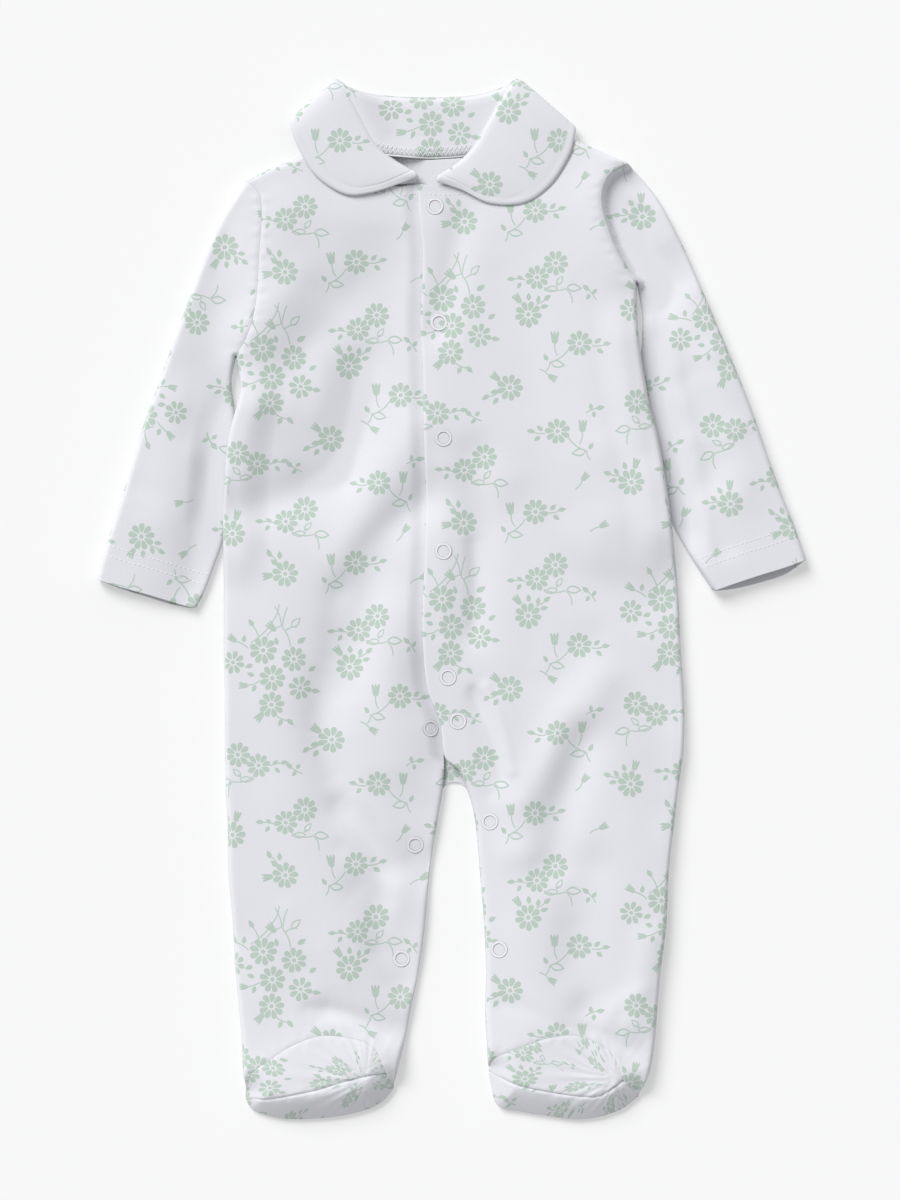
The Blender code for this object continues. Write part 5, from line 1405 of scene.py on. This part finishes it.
# %% Cut the sleeves
SLEEVE_STEP = 1.75
WELD = 0.02             # the two layers share their corners along the folds
HEM = 20.0              # the inside shows the print this far up
HEM_REACH = 4           # the cuff's way out is taken from this many points of its two folds
SLEEVE_PRINTS = {"right": (164.0, (-150.0, 60.0)), "left": (17.0, (150.0, 20.0))}


def hem_line(side, layer):
    outer, inner = SLEEVES[side + "_outer"], SLEEVES[side + "_inner"]
    bow = smooth_line(paired(CUFF_COLUMNS, CUFF_SECTIONS, "share", side + "_bow"))
    if layer == "under":
        drop = paired(CUFF_COLUMNS, CUFF_SECTIONS, "share", side + "_drop")
        bow[:, 1] += smooth_line(drop)[:, 1]
    down = unit(outer[-1] - outer[-HEM_REACH] + inner[-1] - inner[-HEM_REACH])
    across = bow[:, :1]
    return outer[-1] * (1 - across) + inner[-1] * across + bow[:, 1:] * down


def sleeve_outline(side, layer):
    outer, inner = SLEEVES[side + "_outer"], SLEEVES[side + "_inner"]
    hem = hem_line(side, layer)
    if side == "right":
        return [outer, hem, inner[::-1], ARMHOLES["right"]]
    return [inner, hem[::-1], outer[::-1], ARMHOLES["left"][::-1]]


def sleeve_z(side, layer, points):
    if layer == "upper":
        return upper_z(points, sleeve_top(side), SLEEVE_ROLLS[side], sleeve_seam(side))
    rise = sleeve_seam(side)(points) - neck_lift(points)
    return lower_z(points, SLEEVE_ROLLS[side], neck_lift, rise)


def cut_sleeve(side):
    upper, faces = flat_panel(sleeve_outline(side, "upper"), SLEEVE_STEP)
    under, under_faces = flat_panel(sleeve_outline(side, "under"), SLEEVE_STEP)
    points = np.vstack([np.column_stack([upper, sleeve_z(side, "upper", upper)]),
                        np.column_stack([under, sleeve_z(side, "under", under)])])
    faces = np.vstack([faces, under_faces[:, ::-1] + len(upper)])
    piece = make_mesh(f"sleeve_{side}_cloth", points, faces, CLOTH_MATERIALS, *SLEEVE_PRINTS[side])
    facing_faces(piece, points, faces, [hem_line(side, "upper"), hem_line(side, "under")], HEM)
    tube = bmesh.new()
    tube.from_mesh(piece.data)
    bmesh.ops.remove_doubles(tube, verts=tube.verts, dist=WELD * MM)
    tube.to_mesh(piece.data)
    tube.free()
    thicken(piece)
    return finish_piece(piece)


sleeves = {side: cut_sleeve(side) for side in SIDES}
print("sleeves:", [len(piece.data.polygons) for piece in sleeves.values()])

# %% [markdown]
# ## The feet
#
# Each foot has an instep, which is gathered toward one point, and a sole that turns up round the
# end. They belong to the same puffed height field, so the seam between them can sink into it.

# %% Cut the insteps and the soles
FOOT_STEP = 1.1
FULLNESS = 2.4          # radians of cloth gathered in for each radian near the focus
FULLNESS_REACH = 42.0
SHORTEST_LINE = 0.3     # a shorter side of an outline is only a corner
FOOT_PRINTS = {
    ("instep", "right"): (-20.0, (32.0, 20.0)),
    ("instep", "left"): (10.0, (-14.0, 50.0)),
    ("sole", "right"): (15.0, (8.0, -40.0)),
    ("sole", "left"): (-8.0, (30.0, 70.0)),
}


def instep_outline(side):
    arc = foot_line(side, "arc_y", 0, INSTEP_END[side] + 1)
    toe = TOE_SEAMS[side]
    return [toe, arc[::-1], np.vstack([arc[:1], toe[:1]])]


def sole_outline(side):
    heel = foot_line(side, "arc_y", INSTEP_END[side])
    seam = np.vstack([TOE_SEAMS[side], heel[1:]])
    end = foot_line(side, "end_y")
    return [end, np.vstack([end[-1:], seam[-1:]]), seam[::-1], np.vstack([seam[:1], end[:1]])]


def gathered(points, side):
    """Where a place on a foot was on the flat cloth: more of it is drawn in near the focus."""
    away = points[:, :2] - GATHER_FOCUS[side]
    reach = np.hypot(away[:, 0], away[:, 1])
    turn = np.arctan2(away[:, 1], -away[:, 0])
    turn = turn * (1.0 + FULLNESS * soft(reach, FULLNESS_REACH))
    return np.column_stack([-reach * np.cos(turn), reach * np.sin(turn)])


def cut_foot_piece(kind, side, outline):
    lines = [line for line in outline if run_of(line)[-1] > SHORTEST_LINE]
    places, faces = flat_panel(lines, FOOT_STEP)
    z = upper_z(places, front_height(side), FRONT_ROLLS, seam_base)
    points = np.column_stack([places, z])
    piece = make_mesh(f"{kind}_{side}_cloth", points, faces, CLOTH_MATERIALS,
                      *FOOT_PRINTS[kind, side], flat=gathered(points, side))
    thicken(piece)
    return finish_piece(piece)


insteps = {side: cut_foot_piece("instep", side, instep_outline(side)) for side in SIDES}
soles = {side: cut_foot_piece("sole", side, sole_outline(side)) for side in SIDES}
print("feet:", [len(piece.data.polygons) for piece in (*insteps.values(), *soles.values())])

# %% [markdown]
# ## The collar
#
# The rounded collar is a double strip that stands up at the neck seam, rolls over and lies down on
# the fronts. It is swept round the neck from one front end to the other: each section says where
# its seam, its roll and its edge are, and how far it has turned over. Its outer edge is sewn with a
# narrow plain band, so a groove runs five millimetres inside the edge.

# %% Sweep the collar
PROFILE_COLUMNS = ("share", "back_z", "front_z", "aside")
STAND_Z = 3.1           # the stand lies at this height behind the neck
STAND_PROFILE = (
    ("neck seam", 0.0, STAND_Z, 6.5, -0.3),
    ("stand", 0.5, STAND_Z, 6.5, -0.7),
    ("under the roll", 0.93, STAND_Z, 6.6, -1.1),
)
LEAF_PROFILE = (
    ("roll", 0.0, 2.0, 7.75, 0.0),
    ("over the roll", 0.05, 0.9, 8.9, 1.1),
    ("inner leaf", 0.3, 0.9, 9.5, 0.8),
    ("leaf", 0.6, 0.9, 9.4, 0.5),
    ("inside the edge seam", 0.88, 0.9, 8.7, 0.2),
    ("edge", 1.0, 0.9, 8.5, 0.0),
)
PROFILE_CROWD = 0.9     # under 1, the steps across a profile are closer at its far end
NECK_INSET = 1.4        # between the neck seam and the collar
SHOULDER_INSET = 1.6    # more of the same where the collar turns over the shoulder
ROLL_INSET = 0.9        # the roll's outside is where the collar's outline is
STAND_RISE = 5.2        # the stand climbs by this to the right leaf's fold,
STAND_REACH = 15.0      # over this width,
STAND_HELD = 0.9        # where the collar has turned to the back; 1 is straight back
RIGHT_FOLD = paired(COLLAR_COLUMNS, COLLAR_SECTIONS, "roll_x", "roll_y")
RIGHT_FOLD = RIGHT_FOLD[1:COLLAR_NAMES.index("right peak") + 1]
COLLAR_SPANS = 9
COLLAR_STAND_STEPS = 9
COLLAR_LEAF_STEPS = 30
COLLAR_CLOTH = 1.7      # two layers
EDGE_BAND = 5.0         # the plain band along the outer edge
GROOVE_DEPTH = 0.28
GROOVE_HALF_WIDTH = 0.5
EDGE_ROUND = 1.1
EDGE_THIN = 0.96        # at 1 the leaf would thin out to nothing at its edge
COLLAR_PRINT = (0.0, (-45.0, 145.0))


def profile_at(profile, steps):
    values = np.array([row[1:] for row in profile])
    share = np.linspace(0.0, 1.0, steps) ** PROFILE_CROWD
    fine = smooth_line(values, 8)
    return np.stack([np.interp(share * values[-1, 0], fine[:, 0], fine[:, k])
                     for k in range(values.shape[1])], axis=-1)


def stand_lift(points):
    return STAND_RISE * (1.0 - smoothstep(distance(points, [RIGHT_FOLD]) / STAND_REACH))


def collar_rows():
    stations = smooth_line([row[1:] for row in COLLAR_SECTIONS], COLLAR_SPANS)
    stand = profile_at(STAND_PROFILE, COLLAR_STAND_STEPS)
    leaf = profile_at(LEAF_PROFILE, COLLAR_LEAF_STEPS)
    middle = len(stations) // 2
    rows = []
    for i, values in enumerate(stations):
        turn = math.radians(max(-90.0, min(90.0, values[0])))
        at_side = math.cos(turn)
        in_front = (1.0 + math.sin(turn)) / 2
        held = smoothstep(-math.sin(turn) / STAND_HELD)
        outward = np.array([-1.0 if i < middle else 1.0, 0.0])
        seam, roll, edge = values[1:3], values[3:5], values[5:7]
        rising = unit(roll - seam)
        seam = seam + rising * (NECK_INSET + SHOULDER_INSET * at_side)
        roll = roll - rising * ROLL_INSET
        row = []
        for start, end, profile in ((seam, roll, stand), (roll, edge, leaf)):
            for share, back_z, front_z, aside in profile:
                place = start + (end - start) * share + outward * aside * at_side
                lift = held * stand_lift(place[None])[0] if profile is stand else 0.0
                row.append((*place, back_z + (front_z - back_z) * in_front + lift))
        rows.append(row)
    return np.array(rows)


def face_outward(shape):
    if shape.calc_volume(signed=True) < 0.0:
        bmesh.ops.reverse_faces(shape, faces=shape.faces)


def collar_gap(centre):
    """How far each point of the collar lies from its outer edge or its ends, along the cloth."""
    steps = np.linalg.norm(np.diff(centre, axis=1), axis=-1)
    run = np.concatenate([np.zeros((len(centre), 1)), np.cumsum(steps, axis=1)], axis=1)
    along_edge = run_of(centre[:, -1])
    from_end = np.minimum(along_edge, along_edge[-1] - along_edge)
    return np.minimum(run[:, -1:] - run, from_end[:, None])


def sweep_collar():
    centre = collar_rows()
    count, columns = centre.shape[:2]
    normal = unit(np.cross(np.gradient(centre, axis=0), np.gradient(centre, axis=1)))
    gap = collar_gap(centre)
    level = 1.0 - np.clip(gap / EDGE_ROUND, 0.0, 1.0)
    half = COLLAR_CLOTH / 2 * np.sqrt(1.0 - EDGE_THIN * level ** 2)
    groove = GROOVE_DEPTH * soft(gap - EDGE_BAND, GROOVE_HALF_WIDTH)
    outer = centre + normal * (half - groove)[..., None]
    inner = centre - normal * half[..., None]
    points = np.vstack([outer.reshape(-1, 3), inner.reshape(-1, 3)])
    points[:, 2] = np.maximum(points[:, 2], 0.0)
    size = count * columns
    numbers = np.arange(size).reshape(count, columns)
    top = np.stack([numbers[:-1, :-1], numbers[1:, :-1], numbers[1:, 1:], numbers[:-1, 1:]],
                   axis=-1).reshape(-1, 4)
    border = np.concatenate([numbers[:, 0][::-1], numbers[0, 1:], numbers[1:, -1],
                             numbers[-1, -2:0:-1]])
    after = np.roll(border, -1)
    rim = np.column_stack([border, after, after + size, border + size])
    faces = np.vstack([top, top[:, ::-1] + size, rim])
    triangles = np.vstack([faces[:, [0, 1, 2]], faces[:, [0, 2, 3]]])
    piece = make_mesh("collar_cloth", points, triangles, CLOTH_MATERIALS[:2], *COLLAR_PRINT)
    bare = np.concatenate([(gap < EDGE_BAND).ravel(), np.zeros(size)]).astype(np.float32)
    piece.data.attributes.new("bare", "FLOAT", "POINT").data.foreach_set("value", bare)
    shape = bmesh.new()
    shape.from_mesh(piece.data)
    face_outward(shape)
    shape.to_mesh(piece.data)
    shape.free()
    return finish_piece(piece)


collar = sweep_collar()
print("collar:", len(collar.data.polygons), "triangles")

# %% [markdown]
# ## The press studs
#
# A ring stud has an open prong ring on the outside: a white ring, and the cloth shows in the
# middle.
# A thin grey line is painted on the ring at each rim as shade, where the ring meets the cloth. Each
# is turned from one profile, and it stands on the slope of the cloth where the frame's own stud
# stands. Enamel is smooth and reflects the lamp, so it gets a lower roughness than the cloth and a
# thin clear coat.

# %% Turn the studs
RING_PROFILE = (        # radius and height of each corner, mm
    (3.1, -0.5), (3.1, 0.2), (3.2, 0.36), (3.4, 0.4), (3.6, 0.32),
    (4.1, 0.32), (4.3, 0.4), (4.55, 0.36), (4.7, 0.2), (4.75, -0.5),
)
SEAT_RADIUS = 4.0
SEAT_POINTS = 16
RING_SIDES = 64
RIM_MIDDLE = 3.92       # the ring is painted grey as shade farther than RIM_HALF from here
RIM_HALF = 0.62
RIM_EDGE = 0.15
ENAMEL = (0.80, 0.80, 0.82, 1.0)
# painted shade: the grey of the ring's two rims, where the ring meets the cloth
PAINTED_RIM_SHADE = (0.36, 0.36, 0.40, 1.0)
SPECKS = 900.0          # per metre
SPECK_SHARE, ENAMEL_ROUGHNESS = 0.12, 0.36
ENAMEL_COAT = 0.2


def enamel():
    n = Nodes("white_enamel_gloss")
    where = n.add("ShaderNodeTexCoord").outputs["Object"]
    x, y, _ = n.split(where)
    reach = n.math("SQRT", n.plus(n.times(x, x), n.times(y, y)))
    from_middle = n.size(n.minus(reach, RIM_MIDDLE * MM))
    # painted shade: grey near the inner and outer rims, standing in for the shade in the gap to the
    # cloth
    rim_shade = n.soft(n.minus(from_middle, RIM_HALF * MM), RIM_EDGE * MM)
    n.plug(n.shader.inputs["Base Color"], n.mixed(ENAMEL, PAINTED_RIM_SHADE, rim_shade))
    speck = n.noise(where, SPECKS)
    n.plug(n.shader.inputs["Roughness"], n.scaled(speck, SPECK_SHARE, ENAMEL_ROUGHNESS))
    n.plug(n.shader.inputs["Coat Weight"], ENAMEL_COAT)
    return n.material


def round_turns(count):
    return np.linspace(0.0, math.tau, count, endpoint=False)


def skin(shape, loops):
    """Faces between loops of corners, each loop joined to the next."""
    for first, second in zip(loops, loops[1:]):
        for k in range(len(first)):
            after = (k + 1) % len(first)
            shape.faces.new((first[after], first[k], second[k], second[after]))


def small_piece(name, shape, finish):
    mesh = bpy.data.meshes.new(name)
    shape.to_mesh(mesh)
    shape.free()
    mesh.materials.append(finish)
    mesh.shade_smooth()
    return placed(name, mesh)


def seat_of(name):
    """The place and the slope of the cloth under a stud, from the cloth's height round it."""
    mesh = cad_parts[name].data
    corners = np.empty(len(mesh.vertices) * 3)
    mesh.vertices.foreach_get("co", corners)
    corners = corners.reshape(-1, 3)[:, :2] / MM
    centre = (corners.min(axis=0) + corners.max(axis=0)) / 2
    side = "right" if "right" in name else "left"
    turns = round_turns(SEAT_POINTS)
    ring = np.column_stack([np.cos(turns), np.sin(turns)])
    z = upper_z(centre + SEAT_RADIUS * ring, front_height(side), FRONT_ROLLS, seam_base)
    slope = 2.0 * (ring * z[:, None]).mean(axis=0) / SEAT_RADIUS
    normal = unit(np.array([-slope[0], -slope[1], 1.0]))
    return np.array([*centre, z.mean()]) * MM, normal


def turn_stud(name, finish):
    foot, normal = seat_of(name)
    shape = bmesh.new()
    loops = [[shape.verts.new((radius * math.cos(t) * MM, radius * math.sin(t) * MM, height * MM))
              for t in round_turns(RING_SIDES)] for radius, height in RING_PROFILE]
    skin(shape, loops + loops[:1])
    face_outward(shape)
    stud = small_piece(name + "_ring", shape, finish)
    stud.rotation_mode = "QUATERNION"
    stud.rotation_quaternion = Vector((0.0, 0.0, 1.0)).rotation_difference(Vector(normal))
    stud.location = Vector(foot)
    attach(stud, "root")
    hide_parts(name)
    return stud


white_enamel = enamel()
studs = [turn_stud(name, white_enamel) for name in sorted(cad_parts)
         if name.startswith("stud")]
print("studs:", len(studs))

# %% [markdown]
# ## Threads
#
# Stitches are what tells a sewn garment from a moulded one. Each is a short thread that dives into
# the cloth at both ends: two rows round each cuff, a zigzag over the seam of the back neck with a
# fine cord under it, and one row below the front neck. They are made from the same seam lines, so
# they follow the cloth. A bump in the material would be lighter, but it would lift no thread.

# %% Threads and where they run
THREAD = 0.2            # radius, mm
ZIGZAG_THREAD = 0.17
THREAD_SIDES = 6
THREAD_SHAPE = ((0.0, 0.35, -0.16), (0.2, 0.9, 0.0), (0.8, 0.9, 0.0), (1.0, 0.35, -0.16))
THREAD_FACES = THREAD_SIDES * (len(THREAD_SHAPE) - 1) + 2
THREAD_PAINT = {"Base Color": (0.86, 0.86, 0.88, 1.0), "Sheen Weight": 0.2}
TWISTS = 2600.0         # per metre
TWIST_SHARE, THREAD_ROUGHNESS = 0.2, 0.65
STITCH_PITCH = 2.5
STITCH_SHARE = 0.66     # of the pitch that shows as thread
HEM_ROWS = (14.4, 20.0)                 # above the cuff's edge
HEM_SPAN = (0.02, 0.98)                 # share of the width from fold to fold
HEM_POINTS = 40
ZIGZAG_ROWS = ((1.9, 4.4), (4.6, 7.2))  # lower and upper ends above the nape's seam
ZIGZAG_PITCH = 1.25
CORD_RADIUS = 0.5
CORD_SIDES = 10
CORD_RISE = 1.2         # above the nape's seam
CORD_Z = 3.4
TOPSTITCH_DROP = 5.0    # the row below the front neck
TOPSTITCH_TOP = 245.0   # starts below the shoulders,
TOPSTITCH_END = 3       # and ends this many points before the front edge
ON_UPPER = 0.08         # how far a stitch stands out of the cloth under it
ON_UNDER = 0.1
ON_STAND = 0.2


def thread_finish():
    n = Nodes("cotton_thread")
    twist = n.noise(n.add("ShaderNodeTexCoord").outputs["Object"], TWISTS, 2.0)
    n.plug(n.shader.inputs["Roughness"], n.scaled(twist, TWIST_SHARE, THREAD_ROUGHNESS))
    set_inputs(n.shader, THREAD_PAINT)
    return n.material


def square_to(way):
    aside = unit(np.cross(way, (0.0, 0.0, 1.0)))
    return aside, unit(np.cross(aside, way))


def add_rod(shape, centres, ways, radii, sides):
    """A round rod through the centres, closed at both ends; ways says where it heads at each."""
    loops = []
    for centre, way, radius in zip(centres, ways, radii):
        aside, upward = square_to(way)
        loops.append([shape.verts.new(
            (centre + (aside * math.cos(t) + upward * math.sin(t)) * radius) * MM)
            for t in round_turns(sides)])
    shape.faces.new(loops[0])
    shape.faces.new(loops[-1][::-1])
    skin(shape, loops)


def thread_piece(name, shape):
    piece = small_piece(name, shape, cotton_thread)
    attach(piece, "root")
    return piece


def sewn(name, stitches, radius=THREAD):
    """One mesh with a small spindle of thread for each stitch, given by its two ends."""
    shape = bmesh.new()
    for start, end in stitches:
        way = end - start
        upward = square_to(way)[1]
        centres = [start + way * share + upward * rise for share, _, rise in THREAD_SHAPE]
        radii = [radius * wide for _, wide, _ in THREAD_SHAPE]
        add_rod(shape, centres, [way] * len(centres), radii, THREAD_SIDES)
    return thread_piece(name, shape)


def cord(name, line):
    shape = bmesh.new()
    add_rod(shape, line, np.gradient(line, axis=0), [CORD_RADIUS] * len(line), CORD_SIDES)
    return thread_piece(name, shape)


def raised(line, height):
    return np.column_stack([line, height(line)])


def running_stitches(line, height):
    count = int(run_of(line)[-1] / STITCH_PITCH)
    starts = (np.arange(count) + (1.0 - STITCH_SHARE) / 2) / count
    first, last = along(line, starts), along(line, starts + STITCH_SHARE / count)
    return list(zip(raised(first, height), raised(last, height)))


def zigzag_stitches(low, high, height):
    count = int(run_of(low)[-1] / ZIGZAG_PITCH)
    share = np.linspace(0.0, 1.0, count + 1)
    at_low = (np.arange(count + 1) % 2 == 0)[:, None]
    turns = raised(np.where(at_low, along(low, share), along(high, share)), height)
    return list(zip(turns[:-1], turns[1:]))


def stitch_count(piece):
    return len(piece.data.polygons) // THREAD_FACES


cotton_thread = thread_finish()


# %% Sew the cuffs


def row_above_hem(side, layer, distance_up):
    hem = hem_line(side, layer)
    shifts = []
    for fold, corner in (("outer", hem[0]), ("inner", hem[-1])):
        line = SLEEVES[f"{side}_{fold}"][::-1]
        shifts.append(along(line, distance_up / run_of(line)[-1]) - corner)
    share = np.linspace(0.0, 1.0, len(hem))[:, None]
    row = hem + shifts[0] + (shifts[1] - shifts[0]) * share
    return along(row, np.linspace(*HEM_SPAN, HEM_POINTS))


def sew_cuff(side):
    def upper(points):
        return sleeve_z(side, "upper", points) + ON_UPPER

    def under(points):
        return sleeve_z(side, "under", points) + ON_UNDER

    stitches = []
    for distance_up in HEM_ROWS:
        stitches += running_stitches(row_above_hem(side, "upper", distance_up), upper)
        stitches += running_stitches(row_above_hem(side, "under", distance_up), under)
    return sewn(f"cuff_stitches_{side}", stitches)


cuff_stitches = {side: sew_cuff(side) for side in SIDES}
print("stitches at the cuffs:", [stitch_count(piece) for piece in cuff_stitches.values()])

# %% Sew the neck
NAPE_NAMES = slice(COLLAR_NAMES.index("right nape"), COLLAR_NAMES.index("left nape") + 1)
NAPE = smooth_line(COLLAR_SEAM[NAPE_NAMES])


def on_stand(points):
    return STAND_Z + COLLAR_CLOTH / 2 + ON_STAND + stand_lift(points)


def under_stand(points):
    return CORD_Z + stand_lift(points)


def sew_nape():
    stitches = []
    for low, high in ZIGZAG_ROWS:
        stitches += zigzag_stitches(NAPE + (0.0, low), NAPE + (0.0, high), on_stand)
    return sewn("nape_zigzag", stitches, ZIGZAG_THREAD)


def sew_front_neck():
    stitches = []
    for side in SIDES:
        def height(points):
            return upper_z(points, front_height(side), FRONT_ROLLS, seam_base) + ON_UPPER

        line = neckline(side)
        line = line[line[:, 1] < TOPSTITCH_TOP] - (0.0, TOPSTITCH_DROP)
        stitches += running_stitches(line[:-TOPSTITCH_END], height)
    return sewn("neck_topstitch", stitches)


nape_zigzag = sew_nape()
nape_cord = cord("nape_cord", raised(evenly(NAPE + (0.0, CORD_RISE), 1.0), under_stand))
neck_topstitch = sew_front_neck()
print("stitches at the neck:", stitch_count(nape_zigzag), stitch_count(neck_topstitch))

# %% [markdown]
# ## The cloth pieces in two tables
#
# The frame keeps a list of soft pieces, and for each it wants the size of the flat cut and what the
# piece lies on, so that another program could drape it again. Here one table holds these for each
# piece and another the threads sewn on it; the loop at the end only reads the two tables.

CUT_COLUMNS = ("piece", "width", "length", "area", "rests_on")
CUTS = (
    (back, 0.256, 0.547, 0.118, ()),
    (fronts["left"], 0.147, 0.534, 0.0593, ("back_cloth",)),
    (fronts["right"], 0.129, 0.523, 0.0580, ("back_cloth",)),
    (sleeves["left"], 0.19, 0.236, 0.0234, ()),
    (sleeves["right"], 0.18, 0.236, 0.0204, ()),
    (collar, 0.09, 0.33, 0.0161, ("front_left_cloth", "front_right_cloth")),
    (insteps["left"], 0.074, 0.034, 0.0019, ("sole_left_cloth",)),
    (insteps["right"], 0.077, 0.035, 0.0019, ("sole_right_cloth",)),
    (soles["left"], 0.083, 0.027, 0.0015, ("back_cloth",)),
    (soles["right"], 0.083, 0.027, 0.0016, ("back_cloth",)),
)
SEWN_ON = {
    sleeves["left"]: [cuff_stitches["left"]],
    sleeves["right"]: [cuff_stitches["right"]],
    collar: [nape_zigzag],
    back: [nape_cord],
    fronts["left"]: [neck_topstitch],
}
for piece, width, length, area, rests_on in CUTS:
    list(rests_on)
    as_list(SEWN_ON.get(piece, ()))
